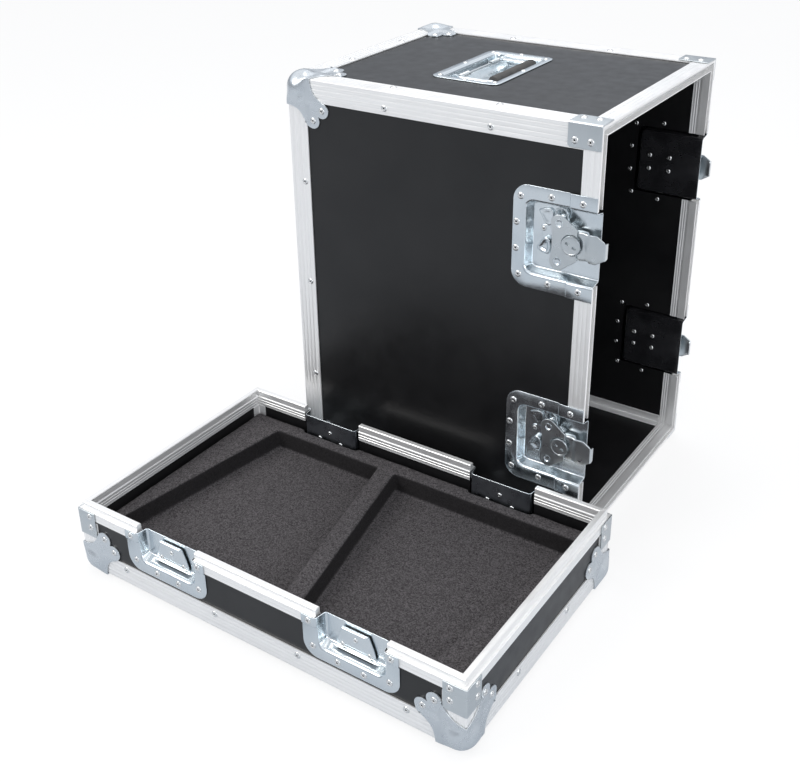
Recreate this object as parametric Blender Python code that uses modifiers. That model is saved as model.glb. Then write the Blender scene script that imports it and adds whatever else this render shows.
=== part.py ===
"""Lift-off flight case for a pair of speakers: a deep hood lying on its side and a shallow foam-lined tray.

All sizes are in metres, +Z is up. The hood's opening faces +X and the tray stands in front of it, on -Y.
The origin lies on the floor, under the middle of the whole set.
"""
import math

import bmesh
import bpy
from mathutils import Matrix, Vector

# Overall sizes, measured over the flat outer faces of the metal edging
HOOD_LENGTH = 0.4464
CASE_DEPTH = 0.354
CASE_WIDTH = 0.579
TRAY_HEIGHT = 0.0905
TRAY_GAP = 0.019
TRAY_SHIFT = -0.079

# Clearances
GAP = 0.0003
SLACK = 0.0006
BITE = 0.0002

# Distances at which two points count as one
DRAWN_MERGE = 0.00001
SAWN_MERGE = 0.000001
PRESSED_MERGE = 0.00005

# Board and edging
BOARD = 0.009
WALL = 0.0016
EDGE_LEG = 0.030
INNER_WALL = 0.0014
INNER_LEG = 0.0130
WEB = 0.0012
RIB_DEPTH = 0.0004
RIB_WIDTH = 0.0012
RIB_COUNT = 4
BOARD_SETBACK = 0.0003

# Tongue and groove rim
RIM_LEG = 0.0224
RIM_INNER_LEG = 0.0220
LAND = 0.0030
GROOVE_DEPTH = 0.0093
TONGUE_LEDGE = 0.0034
TONGUE_HEIGHT = 0.0087
TONGUE_WIDTH = 0.0082
TONGUE_TAPER = 0.0002
TRAY_RIM_LEG = 0.0125
TRAY_RIM_INNER_LEG = 0.0150

# Pressed steel corners
SHEET = 0.0015
BALL_RADIUS = 0.022
CROWN = 0.0070
LEAF_REACH = 0.037
BALL_REACH = 0.030
NIP_REACH = 0.028
LOBE_RADIUS = 0.0105
LOBE_SWEEP = 200.0
LOBE_START = 80.0
LOBE_DIP = 0.25
LEAF_STEPS = (0.35, 0.72)
LOBE_ALONG = 0.0665
LOBE_ASIDE = 0.0106
WAIST = 0.0155
EDGE_ROUND = 0.0004
HOOD_BRACE = 0.042
TRAY_BRACE = 0.039
BRACE_CHAMFER = 0.007
BRACE_LEG = 0.0285

# Latch dishes in the hood
DISH_SHEET = 0.0012
DISH_LENGTH = 0.109
DISH_WIDTH = 0.132
DISH_CORNER = 0.020
DISH_FLANGE = 0.0160
DISH_SIDE_FLANGE = 0.0195
DISH_DEPTH = 0.0150
DISH_DRAFT = 0.0035
DISH_FLOOR_CORNER = 0.009
LATCH_FROM_CORNER = 0.1495

# Latch works
LATCH_INSET = 0.032
COVER_SHEET = 0.0016
COVER_CORNER = 0.0085
SHAFT_ARC = 337.5
BEAD_AT = 0.45
COVER_TOP = 0.0030
POST_RADIUS = 0.0036
POST_PROUD = 0.00075
POST_ASIDE = 0.0242
POST_BEHIND = 0.0170
BOSS_RADIUS = 0.0140
KEY_RADIUS = 0.0122
KEY_SHEET = 0.0020
KEY_SHAFT_RADIUS = 0.0065
KEY_SLOT = 0.0028
HOOK_SHEET = 0.0020
HOOK_REACH = 0.0115
HOOK_TRAVEL = 0.0045
HOOK_SHOULDER = 0.010
HOOK_BEHIND = 0.0045
HOOK_NIP = 0.004
HOOK_FLARE = 0.005
HOOK_CRANK = 0.012
HOOK_STEP = 0.006
HOOK_TIP_WIDTH = 0.020
HOOK_ROOT_WIDTH = 0.035
HOOK_NECK_WIDTH = 0.022
HOOK_LIP = 0.0050
HOOK_BLADE_DEPTH = 0.0030

# Catch dishes in the tray
CATCH_HEIGHT = 0.0580
STRIKE_SHEET = 0.0016
STRIKE_WIDTH = 0.044
STRIKE_HEIGHT = 0.0260
STRIKE_DROP = 0.0062
STRIKE_LIP = 0.0040
STRIKE_RISE = 0.0034
STRIKE_FOOT = 0.0040

# Handles
HANDLE_LENGTH = 0.163
HANDLE_WIDTH = 0.099
HANDLE_CORNER = 0.012
HANDLE_FLANGE = 0.0110
HANDLE_DEPTH = 0.0150
HANDLE_DRAFT = 0.0010
HANDLE_FLOOR_CORNER = 0.006
HANDLE_INSET = 0.209
PIVOT_BEHIND = 0.022
GRIP_AHEAD = 0.0285
GRIP_RADIUS = 0.0076
HANDLE_SIDE_ROOM = 0.0064
GRIP_PROUD = 0.0020
BAIL_RADIUS = 0.0032
PIVOT_EAR = 0.0030
EAR_WALL = 0.0028
PIN_STEP = 0.0008
ARM_WALL = 0.0012

# Foam insert
FOAM_TOP = 0.062
POCKET_FLOOR = 0.032
POCKET_WIDE = 0.275
POCKET_NARROW = 0.178
POCKET_MARGIN = 0.029
POCKET_SKEW = 0.040
POCKET_END = 0.036
FOAM_SIDE = 0.0004

# Places worked out from the sizes above
PANEL_OUT = WALL + GAP
PANEL_IN = PANEL_OUT + BOARD
CHANNEL = PANEL_IN + GAP
EDGING_IN = CHANNEL + INNER_WALL
HOOD_AT = Vector((-CASE_WIDTH / 2 - TRAY_SHIFT, TRAY_GAP / 2, CROWN))
TRAY_AT = Vector((-CASE_WIDTH / 2, -CASE_DEPTH - TRAY_GAP / 2, CROWN))
LATCH_PLACES = (LATCH_FROM_CORNER, CASE_WIDTH - LATCH_FROM_CORNER)
POCKET_HALF = DISH_WIDTH / 2 - DISH_SIDE_FLANGE
NOTCH_HALF = POCKET_HALF + DISH_SHEET + SLACK
FLANGE_IN = PANEL_OUT - GAP
FLOOR_IN = FLANGE_IN + DISH_DEPTH
HANDLE_EARS_AT = HANDLE_LENGTH / 2 - HANDLE_FLANGE - HANDLE_SIDE_ROOM
GRIP_LENGTH = 2 * (HANDLE_EARS_AT - PIVOT_EAR - 2 * SLACK - 2 * BAIL_RADIUS)

ROOT_NAME = "speaker_flight_case"


def clear_scene():
    for old in list(bpy.data.objects):
        bpy.data.objects.remove(old)


def new_collection(name):
    group = bpy.data.collections.new(name)
    bpy.context.scene.collection.children.link(group)
    return group


clear_scene()
PARTS = new_collection(ROOT_NAME)
CUTTERS = new_collection("cutters")


def material(name, colour, metallic, roughness):
    made = bpy.data.materials.new(name)
    made.use_nodes = True
    shader = made.node_tree.nodes["Principled BSDF"]
    shader.inputs["Base Color"].default_value = (*colour, 1.0)
    shader.inputs["Metallic"].default_value = metallic
    shader.inputs["Roughness"].default_value = roughness
    return made


LOOKS = {
    "laminate": ((0.016, 0.016, 0.018), 0.0, 0.35),
    "aluminium": ((0.78, 0.77, 0.75), 1.0, 0.38),
    "zinc": ((0.70, 0.74, 0.77), 1.0, 0.28),
    "dark_steel": ((0.30, 0.31, 0.33), 1.0, 0.32),
    "rubber": ((0.060, 0.058, 0.056), 0.0, 0.70),
    "foam": ((0.055, 0.052, 0.055), 0.0, 0.95),
}


def keep(piece, look):
    """Give a piece its own material and move it into the parts' collection."""
    colour, metallic, roughness = LOOKS[look]
    piece.data.materials.clear()
    piece.data.materials.append(material(piece.name, colour, metallic, roughness))
    for group in list(piece.users_collection):
        group.objects.unlink(piece)
    PARTS.objects.link(piece)
    return piece


def as_cutter(piece):
    piece.hide_render = True
    piece.display_type = "WIRE"
    for group in list(piece.users_collection):
        group.objects.unlink(piece)
    CUTTERS.objects.link(piece)
    return piece


def object_from(name, bm, smooth=True):
    mesh = bpy.data.meshes.new(name)
    bmesh.ops.recalc_face_normals(bm, faces=bm.faces)
    bm.to_mesh(mesh)
    bm.free()
    if smooth:
        mesh.shade_smooth()
        mesh.set_sharp_from_angle(angle=math.radians(30))
    piece = bpy.data.objects.new(name, mesh)
    PARTS.objects.link(piece)
    return piece


def box(name, low, high):
    bm = bmesh.new()
    size = Vector(high) - Vector(low)
    middle = (Vector(high) + Vector(low)) / 2
    bmesh.ops.create_cube(bm, size=1.0, matrix=Matrix.Translation(middle) @ Matrix.Diagonal((*size, 1.0)))
    return object_from(name, bm, smooth=False)


def cylinder(name, radius, bottom, top, sides=20, at=(0.0, 0.0)):
    bm = bmesh.new()
    middle = Vector((at[0], at[1], (bottom + top) / 2))
    bmesh.ops.create_cone(bm, cap_ends=True, segments=sides, radius1=radius, radius2=radius,
                          depth=top - bottom, matrix=Matrix.Translation(middle))
    return object_from(name, bm)


def plate(name, outline, bottom, top, holes=()):
    """A flat sheet piece in the XY plane, from an outline and any holes, between two heights."""
    flat = bpy.data.curves.new(name, "CURVE")
    flat.dimensions = "2D"
    flat.fill_mode = "BOTH"
    flat.extrude = (top - bottom) / 2
    for loop in (outline, *holes):
        spline = flat.splines.new("POLY")
        spline.points.add(len(loop) - 1)
        for point, (x, y) in zip(spline.points, loop):
            point.co = (x, y, 0.0, 1.0)
        spline.use_cyclic_u = True
    drawn = bpy.data.objects.new(name + "_outline", flat)
    PARTS.objects.link(drawn)
    bpy.context.view_layer.update()
    evaluated = drawn.evaluated_get(bpy.context.evaluated_depsgraph_get())
    mesh = bpy.data.meshes.new_from_object(evaluated)
    bpy.data.objects.remove(drawn)
    bm = bmesh.new()
    bm.from_mesh(mesh)
    bpy.data.meshes.remove(mesh)
    bmesh.ops.remove_doubles(bm, verts=bm.verts, dist=DRAWN_MERGE)
    bmesh.ops.translate(bm, verts=bm.verts, vec=(0.0, 0.0, (top + bottom) / 2))
    return object_from(name, bm, smooth=False)


def arc(centre, radius, start, end, steps):
    """Points along an arc, angles in degrees."""
    points = []
    for step in range(steps + 1):
        angle = math.radians(start + (end - start) * step / steps)
        points.append((centre[0] + radius * math.cos(angle), centre[1] + radius * math.sin(angle)))
    return points


def rounded(low, high, radius, steps=4):
    """A rectangle with rounded corners, anticlockwise."""
    corners = (
        ((high[0] - radius, low[1] + radius), -90),
        ((high[0] - radius, high[1] - radius), 0),
        ((low[0] + radius, high[1] - radius), 90),
        ((low[0] + radius, low[1] + radius), 180),
    )
    points = []
    for centre, start in corners:
        points += arc(centre, radius, start, start + 90, steps)
    return points


def boolean(piece, other, operation):
    """Join or cut a piece with another body, and put the result into its mesh."""
    as_cutter(other)
    modifier = piece.modifiers.new(operation.lower(), "BOOLEAN")
    modifier.operation = operation
    modifier.solver = "EXACT"
    modifier.object = other
    bpy.context.view_layer.update()
    evaluated = piece.evaluated_get(bpy.context.evaluated_depsgraph_get())
    mesh = bpy.data.meshes.new_from_object(evaluated)
    piece.modifiers.clear()
    old = piece.data
    piece.data = mesh
    bpy.data.meshes.remove(old)
    bpy.data.objects.remove(other)
    return piece


def place(piece, axes, at):
    """Stand a piece made in its own XYZ on three given directions, at a point."""
    turn = Matrix((axes[0], axes[1], axes[2])).transposed()
    piece.matrix_world = Matrix.Translation(at) @ turn.to_4x4()
    return piece


X = Vector((1.0, 0.0, 0.0))
Y = Vector((0.0, 1.0, 0.0))
Z = Vector((0.0, 0.0, 1.0))


def ribs_along(start, end, level, into):
    """Shallow grooves across one outer leg: points (along, depth) from start to end."""
    step = (end - start) / (RIB_COUNT + 1)
    side = math.copysign(RIB_WIDTH / 2, step)
    points = []
    for number in range(1, RIB_COUNT + 1):
        middle = start + step * number
        points += [(middle - side, level), (middle, level + into), (middle + side, level)]
    return points


def corner_profile():
    """Double angle: (distance in from face one, distance in from face two)."""
    foot = EDGING_IN + INNER_LEG - INNER_WALL
    first = [(0.0, 0.0)]
    first += ribs_along(0.0, EDGE_LEG, 0.0, RIB_DEPTH)
    first += [(EDGE_LEG, 0.0), (EDGE_LEG, WALL), (WALL + WEB, WALL)]
    first += [(CHANNEL + WEB, CHANNEL), (foot, CHANNEL), (foot, EDGING_IN), (EDGING_IN, EDGING_IN)]
    second = [(across, along) for along, across in first[1:-1]]
    return first + second[::-1]


def groove_profile():
    """Hood rim: (depth in from the outer face, distance in from the opening)."""
    floor = GROOVE_DEPTH + INNER_WALL
    groove_in = TONGUE_LEDGE + TONGUE_WIDTH + GAP
    inner_out = groove_in + INNER_WALL
    outer = [(across, along) for along, across in ribs_along(RIM_LEG, 0.0, 0.0, RIB_DEPTH)]
    return [
        (0.0, RIM_LEG), *outer, (0.0, 0.0), (LAND, 0.0), (LAND, GROOVE_DEPTH), (groove_in, GROOVE_DEPTH),
        (groove_in, 0.0), (inner_out, 0.0), (inner_out, floor), (EDGING_IN, floor),
        (EDGING_IN, RIM_INNER_LEG), (CHANNEL, RIM_INNER_LEG), (CHANNEL, floor), (WALL, floor),
        (WALL, RIM_LEG),
    ]


def tongue_profile():
    """Tray rim: (depth in from the outer face, distance down from the ledge)."""
    foot = TONGUE_LEDGE + TONGUE_WIDTH
    return [
        (0.0, TRAY_RIM_LEG), (0.0, 0.0), (TONGUE_LEDGE, 0.0),
        (TONGUE_LEDGE + TONGUE_TAPER, -TONGUE_HEIGHT), (foot - TONGUE_TAPER, -TONGUE_HEIGHT), (foot, 0.0),
        (EDGING_IN, WALL), (EDGING_IN, TRAY_RIM_INNER_LEG), (CHANNEL, TRAY_RIM_INNER_LEG),
        (CHANNEL, WALL), (WALL, WALL), (WALL, TRAY_RIM_LEG),
    ]


def sweep(name, profile, path, across, closed):
    """Run a profile along a flat path with mitred turns.

    The profile's first value goes inward from the path, its second goes along the direction across.
    The path turns anticlockwise about that direction, seen from its tip, so that inward is on the left.
    """
    count = len(path)
    bm = bmesh.new()
    rings = []
    for index, point in enumerate(path):
        sides = []
        if closed or index > 0:
            sides.append((point - path[index - 1]).normalized())
        if closed or index < count - 1:
            sides.append((path[(index + 1) % count] - point).normalized())
        inward = [across.cross(side) for side in sides]
        total = sum(inward, Vector())
        mitre = total / (1.0 + inward[0].dot(inward[-1])) if len(inward) == 2 else total
        rings.append([bm.verts.new(point + mitre * a + across * b) for a, b in profile])
    spans = count if closed else count - 1
    for span in range(spans):
        near = rings[span]
        far = rings[(span + 1) % count]
        for index in range(len(profile)):
            after = (index + 1) % len(profile)
            bm.faces.new((near[index], near[after], far[after], far[index]))
    if not closed:
        bm.faces.new(rings[0])
        bm.faces.new(rings[-1][::-1])
    return object_from(name, bm, smooth=False)


def cut_off(piece, cut_at, keep_side):
    """Cut a closed piece flat at a plane and keep the side that a direction points to."""
    normal = Vector(keep_side).normalized()
    bm = bmesh.new()
    bm.from_mesh(piece.data)
    halves = bmesh.ops.bisect_plane(bm, geom=bm.verts[:] + bm.edges[:] + bm.faces[:], dist=SAWN_MERGE,
                                    plane_co=cut_at, plane_no=normal, clear_inner=True)
    rim = [edge for edge in halves["geom_cut"] if isinstance(edge, bmesh.types.BMEdge)]
    bmesh.ops.triangle_fill(bm, use_beauty=True, edges=rim, normal=normal)
    bmesh.ops.recalc_face_normals(bm, faces=bm.faces)
    bm.to_mesh(piece.data)
    bm.free()


def nip(piece, corner, inward):
    """Cut a corner off, where the ball of a corner piece sits over it."""
    diagonal = Vector(inward).normalized()
    cut_off(piece, Vector(corner) + diagonal * (NIP_REACH / math.sqrt(3.0)), diagonal)


def joined(name, pieces):
    """Join sticks of edging into one frame."""
    whole = pieces[0]
    for other in pieces[1:]:
        boolean(whole, other, "UNION")
    whole.name = name
    return whole


def corners_of(low, high, first, second):
    """Four corners of a rectangle in a plane, in order along the first and the second axis."""
    base = Vector(low)
    reach = Vector(high) - base
    one = first * reach.dot(first)
    two = second * reach.dot(second)
    return [base, base + one, base + one + two, base + two]


def hood_frame():
    """Edging round the closed end and along the four long edges."""
    low = HOOD_AT
    high = HOOD_AT + Vector((HOOD_LENGTH, CASE_DEPTH, CASE_WIDTH))
    ring = sweep("hood_edging", corner_profile(), corners_of(low, high, Y, Z), X, True)
    pieces = [ring]
    stop = low.x + HOOD_LENGTH - max(RIM_LEG, RIM_INNER_LEG) - GAP
    for y_side in (0, 1):
        for z_side in (0, 1):
            start = Vector((low.x + EDGE_LEG - BITE, (low.y, high.y)[y_side], (low.z, high.z)[z_side]))
            inward_y = Y * (1 - 2 * y_side)
            inward_z = Z * (1 - 2 * z_side)
            pieces.append(long_edge("long_edge", start, stop, inward_y, inward_z))
    frame = joined("hood_edging", pieces)
    for y_side in (0, 1):
        for z_side in (0, 1):
            corner = (low.x, (low.y, high.y)[y_side], (low.z, high.z)[z_side])
            nip(frame, corner, (1, 1 - 2 * y_side, 1 - 2 * z_side))
    return keep(frame, "aluminium")


def long_edge(name, start, stop, inward_one, inward_two):
    """A straight stick of double angle along +X or +Z."""
    along = inward_one.cross(inward_two)
    along = Vector([abs(value) for value in along])
    end = Vector([stop if value else point for value, point in zip(along, start)])
    bm = bmesh.new()
    rings = []
    for point in (start, end):
        rings.append([bm.verts.new(point + inward_one * a + inward_two * b) for a, b in corner_profile()])
    count = len(rings[0])
    for index in range(count):
        after = (index + 1) % count
        bm.faces.new((rings[0][index], rings[0][after], rings[1][after], rings[1][index]))
    bm.faces.new(rings[0])
    bm.faces.new(rings[1][::-1])
    return object_from(name, bm, smooth=False)


def tray_frame():
    """Edging round the tray's floor, with a corner post up to the rim at each corner."""
    low = TRAY_AT
    high = TRAY_AT + Vector((CASE_WIDTH, CASE_DEPTH, TRAY_HEIGHT))
    ring = sweep("tray_edging", corner_profile(), corners_of(low, high, X, Y), Z, True)
    pieces = [ring]
    stop = low.z + TRAY_HEIGHT - max(TRAY_RIM_LEG, TRAY_RIM_INNER_LEG) - GAP
    for x_side in (0, 1):
        for y_side in (0, 1):
            start = Vector(((low.x, high.x)[x_side], (low.y, high.y)[y_side], low.z + EDGE_LEG - BITE))
            pieces.append(long_edge("post", start, stop, X * (1 - 2 * x_side), Y * (1 - 2 * y_side)))
    frame = joined("tray_edging", pieces)
    for x_side in (0, 1):
        for y_side in (0, 1):
            corner = ((low.x, high.x)[x_side], (low.y, high.y)[y_side], low.z)
            nip(frame, corner, (1 - 2 * x_side, 1 - 2 * y_side, 1))
    return keep(frame, "aluminium")


def rim_pieces(prefix, profile, low, high, first, second, across, names):
    """The rim in four lengths, cut through where a dish opens to the edge.

    The dishes lie on the sides that run along the first direction, spaced about their middle.
    """
    span = (high - low).dot(first)
    depth = (high - low).dot(second)
    near = [place_at - NOTCH_HALF for place_at in LATCH_PLACES]
    far = [place_at + NOTCH_HALF for place_at in LATCH_PLACES]
    paths = (
        [low + first * near[0] + second * depth, low + second * depth, low, low + first * near[0]],
        [low + first * far[1], low + first * span, low + first * span + second * depth,
         low + first * far[1] + second * depth],
        [low + first * far[0], low + first * near[1]],
        [low + first * near[1] + second * depth, low + first * far[0] + second * depth],
    )
    made = []
    for name, path in zip(names, paths):
        made.append(keep(sweep(prefix + name, profile, path, across, False), "aluminium"))
    return made


# Boards

def notched_board(length, width, notch_start, cuts):
    """Outline of a side board that is open to its far edge where dishes go in."""
    outline = [(0.0, 0.0), (length, 0.0)]
    for middle in cuts:
        outline += [(length, middle - NOTCH_HALF), (notch_start, middle - NOTCH_HALF),
                    (notch_start, middle + NOTCH_HALF), (length, middle + NOTCH_HALF)]
    return outline + [(length, width), (0.0, width)]


def side_board(name, length, width, pocket_reach, cuts, axes, at):
    """A board whose outer face lies in the plane through its own origin, its thickness behind it."""
    start = length - pocket_reach - DISH_SHEET - SLACK
    board = plate(name, notched_board(length, width, start, cuts), -BOARD, 0.0)
    return keep(place(board, axes, at), "laminate")


def hood_boards():
    inner = CHANNEL + WEB + BOARD_SETBACK
    reach_x = HOOD_LENGTH - inner - GROOVE_DEPTH - INNER_WALL - GAP
    width_y = CASE_DEPTH - 2 * inner
    width_z = CASE_WIDTH - 2 * inner
    low = HOOD_AT + Vector((inner, inner, inner))
    high_z = HOOD_AT.z + CASE_WIDTH
    end = plate("hood_closed_end", [(0, 0), (width_y, 0), (width_y, width_z), (0, width_z)], -BOARD, 0.0)
    keep(place(end, (-Y, Z, -X), Vector((HOOD_AT.x + PANEL_OUT, low.y + width_y, low.z))), "laminate")
    pocket = DISH_LENGTH - DISH_FLANGE - GROOVE_DEPTH - INNER_WALL - GAP
    cuts = [place_at - inner for place_at in LATCH_PLACES]
    front_at = Vector((low.x, HOOD_AT.y + PANEL_OUT, low.z))
    side_board("hood_front_side", reach_x, width_z, pocket, cuts, (X, Z, -Y), front_at)
    back_at = Vector((low.x, HOOD_AT.y + CASE_DEPTH - PANEL_OUT, low.z + width_z))
    side_board("hood_back_side", reach_x, width_z, pocket, cuts, (X, -Z, Y), back_at)
    hole_x = HANDLE_INSET - inner
    hole = (HANDLE_WIDTH / 2 - HANDLE_FLANGE + DISH_SHEET + SLACK,
            HANDLE_LENGTH / 2 - HANDLE_FLANGE + DISH_SHEET + SLACK)
    window = rounded((hole_x - hole[0], width_y / 2 - hole[1]), (hole_x + hole[0], width_y / 2 + hole[1]),
                     HANDLE_FLOOR_CORNER, 3)
    outline = [(0, 0), (reach_x, 0), (reach_x, width_y), (0, width_y)]
    top = plate("hood_top_side", outline, -BOARD, 0.0, holes=(window,))
    keep(place(top, (X, Y, Z), Vector((low.x, low.y, high_z - PANEL_OUT))), "laminate")
    bottom = plate("hood_bottom_side", outline, -BOARD, 0.0, holes=(window,))
    bottom_at = Vector((low.x, low.y + width_y, HOOD_AT.z + PANEL_OUT))
    keep(place(bottom, (X, -Y, -Z), bottom_at), "laminate")


def tray_boards():
    inner = CHANNEL + WEB + BOARD_SETBACK
    width_x = CASE_WIDTH - 2 * inner
    width_y = CASE_DEPTH - 2 * inner
    rise = TRAY_HEIGHT - inner - WALL - GAP
    low = TRAY_AT + Vector((inner, inner, inner))
    floor = plate("tray_floor", [(0, 0), (width_x, 0), (width_x, width_y), (0, width_y)], 0.0, BOARD)
    keep(place(floor, (X, Y, Z), Vector((low.x, low.y, TRAY_AT.z + PANEL_OUT))), "laminate")
    pocket = CATCH_HEIGHT - DISH_FLANGE - WALL - GAP
    cuts = [place_at - inner for place_at in LATCH_PLACES]
    near_at = Vector((low.x + width_x, TRAY_AT.y + PANEL_OUT, low.z))
    side_board("tray_near_side", rise, width_x, pocket, cuts, (Z, -X, -Y), near_at)
    far_at = Vector((low.x, TRAY_AT.y + CASE_DEPTH - PANEL_OUT, low.z))
    side_board("tray_far_side", rise, width_x, pocket, cuts, (Z, X, Y), far_at)
    left_at = Vector((TRAY_AT.x + PANEL_OUT, low.y, low.z))
    side_board("tray_left_side", rise, width_y, 0.0, (), (Z, Y, -X), left_at)
    right_at = Vector((TRAY_AT.x + CASE_WIDTH - PANEL_OUT, low.y + width_y, low.z))
    side_board("tray_right_side", rise, width_y, 0.0, (), (Z, -Y, X), right_at)


# Ball corners

def ease(value):
    value = min(max(value, 0.0), 1.0)
    return value * value * (3.0 - 2.0 * value)


def ball_surface(u, v):
    """Outer surface of a ball corner over the face z = 0, for a place u, v in from the two edges."""
    flat_proud = GAP + SHEET
    centre = BALL_RADIUS - CROWN
    beyond = math.hypot(max(u - centre, 0.0), max(v - centre, 0.0))
    fade = ease(beyond / (BALL_REACH - centre))
    radius = BALL_RADIUS + (EDGE_ROUND - BALL_RADIUS) * fade
    proud = CROWN + (flat_proud - CROWN) * fade
    stretch = proud / centre
    square = Vector((u - proud + min(u, centre) * stretch, v - proud + min(v, centre) * stretch, -proud))
    core = Vector((max(square.x, radius - proud), max(square.y, radius - proud), radius - proud))
    return core + (square - core).normalized() * radius


def leaf_end(share):
    """End of a leaf, two round lobes side by side: distances along and aside for -1 <= share <= 1."""
    side = math.copysign(1.0, share)
    angle = math.radians(LOBE_SWEEP * abs(share) - LOBE_START)
    along = LOBE_ALONG + LOBE_RADIUS * math.cos(angle)
    aside = LOBE_ASIDE + LOBE_RADIUS * math.sin(angle)
    if share == 0:
        return (LOBE_ALONG + LOBE_RADIUS * LOBE_DIP, 0.0)
    return (along, side * aside)


def leaf_rows():
    """Rows of places on one leaf, from the corner of the case out to the lobes."""
    half = 3
    shares = [step / half for step in range(-half, half + 1)]
    rows = []
    for reach in (BALL_REACH / 4, BALL_REACH / 2, BALL_REACH * 3 / 4, BALL_REACH, LEAF_REACH):
        along = reach / math.sqrt(2.0)
        rows.append([(along, share * along) for share in shares])
    root = LEAF_REACH / math.sqrt(2.0)
    for blend in LEAF_STEPS:
        row = []
        for share in shares:
            end_along, end_aside = leaf_end(share)
            width = WAIST + (root - WAIST) * (1.0 - blend) ** 3
            start_along = root
            along = start_along + (end_along - start_along) * blend
            aside = share * width + (end_aside - share * width) * max(0.0, blend - 0.5)
            row.append((along, aside))
        rows.append(row)
    rows.append([leaf_end(share) for share in shares])
    return rows


def ball_corner(name, corner, inward):
    """A pressed corner piece: a hollow ball with a two-lobed leaf on each of the three faces."""
    bm = bmesh.new()
    rows = leaf_rows()
    turn = ((0, 1, 2), (1, 2, 0), (2, 0, 1))
    for order in turn:
        def set_on(along, aside):
            u = (along + aside) / math.sqrt(2.0)
            v = (along - aside) / math.sqrt(2.0)
            point = ball_surface(u, v)
            return bm.verts.new([point[order.index(axis)] for axis in range(3)])
        tip = set_on(0.0, 0.0)
        before = None
        for row in rows:
            ring = [set_on(along, aside) for along, aside in row]
            if before is None:
                for one, two in zip(ring, ring[1:]):
                    bm.faces.new((tip, one, two))
            else:
                for (a, b), (c, d) in zip(zip(before, before[1:]), zip(ring, ring[1:])):
                    bm.faces.new((a, c, d, b))
            before = ring
    bmesh.ops.remove_doubles(bm, verts=bm.verts, dist=PRESSED_MERGE)
    piece = object_from(name, bm)
    shell = piece.modifiers.new("sheet", "SOLIDIFY")
    shell.thickness = SHEET
    shell.offset = -1.0
    shell.use_even_offset = True
    return keep(place(piece, inward_axes(inward), Vector(corner)), "zinc")


def inward_axes(inward):
    """Right-handed directions along the three edges of a corner, each pointing into the case."""
    axes = [X * inward[0], Y * inward[1], Z * inward[2]]
    if inward[0] * inward[1] * inward[2] < 0:
        axes = [axes[0], axes[2], axes[1]]
    return axes


# Corner braces

def brace(name, length, corner, inward_one, inward_two, back):
    """A steel angle over a corner of the rim, running back from the opening."""
    outline = [
        (-GAP - SHEET, -GAP - SHEET), (BRACE_LEG, -GAP - SHEET), (BRACE_LEG, -GAP), (-GAP, -GAP),
        (-GAP, BRACE_LEG), (-GAP - SHEET, BRACE_LEG),
    ]
    angle = plate(name, outline, 0.0, length)
    for along in (X, Y):
        cut_off(angle, along * BRACE_LEG + Z * (length - BRACE_CHAMFER), -along - Z)
    one, two = inward_one, inward_two
    if one.cross(two).dot(back) < 0:
        one, two = two, one
    return keep(place(angle, (one, two, back), Vector(corner)), "zinc")


# Dishes

def u_ring(reach, half, corner, open_edge, crank, steps):
    """Points round three sides of a dish: its local +X edge is the open one, at x = open_edge."""
    x_low = open_edge - reach
    lower = arc((x_low + corner, -half + corner), corner, 270, 180, steps)
    upper = arc((x_low + corner, half - corner), corner, 180, 90, steps)
    straight = [(open_edge, -half), (open_edge - crank[0], -half), (open_edge - crank[1], -half)]
    return straight + lower + upper + [(x, -y) for x, y in straight[::-1]]


def dish_rings(length, width, rim_leg):
    """Outer edge, mouth and floor of a cranked dish, with the height of each point."""
    crank = (rim_leg - GAP, rim_leg + WALL + GAP)
    raised = GAP
    low = -FLANGE_IN
    mouth_corner = DISH_FLOOR_CORNER + DISH_DRAFT / 2
    flange = u_ring(length, width / 2, DISH_CORNER, 0.0, crank, 4)
    mouth = u_ring(length - DISH_FLANGE, POCKET_HALF, mouth_corner, 0.0, crank, 4)
    floor = u_ring(length - DISH_FLANGE - DISH_DRAFT, POCKET_HALF - DISH_DRAFT / 2, DISH_FLOOR_CORNER,
                   0.0, crank, 4)

    def level(x):
        return raised if x > -(crank[0] + crank[1]) / 2 else low
    rings = [
        [(x, y, level(x)) for x, y in flange],
        [(x, y, level(x)) for x, y in mouth],
        [(x, y, -FLOOR_IN) for x, y in floor],
    ]
    return rings


def dish_pan(name, rings):
    """A pressed pan open on one side, from rings of points and a flat floor."""
    bm = bmesh.new()
    made = [[bm.verts.new(point) for point in ring] for ring in rings]
    for outer, inner in zip(made, made[1:]):
        for (a, b), (c, d) in zip(zip(outer, outer[1:]), zip(inner, inner[1:])):
            bm.faces.new((a, b, d, c))
    floor = made[-1]
    last = len(floor) - 1
    for index in range(last // 2):
        bm.faces.new((floor[index], floor[index + 1], floor[last - index - 1], floor[last - index]))
    piece = object_from(name, bm)
    sheet = piece.modifiers.new("sheet", "SOLIDIFY")
    sheet.thickness = DISH_SHEET
    sheet.offset = -1.0
    sheet.use_even_offset = True
    return piece


def settle(piece):
    """Put the result of a piece's modifiers into its mesh."""
    bpy.context.view_layer.update()
    evaluated = piece.evaluated_get(bpy.context.evaluated_depsgraph_get())
    mesh = bpy.data.meshes.new_from_object(evaluated)
    piece.modifiers.clear()
    piece.data = mesh
    return piece


# Every dish is made in its own axes: +X towards the open edge, +Z out of the wall

def cover_outline(margin=0.0):
    """The three-cornered cover plate over the hook: two rivets behind, the key's hole in front."""
    back = -LATCH_INSET - POST_BEHIND
    corner = COVER_CORNER + margin
    lower = arc((back, -POST_ASIDE), corner, 300, 180, 4)
    upper = arc((back, POST_ASIDE), corner, 180, 60, 4)
    nose = arc((-LATCH_INSET, 0.0), BOSS_RADIUS + margin, 50, -50, 6)
    return lower + upper + nose


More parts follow.
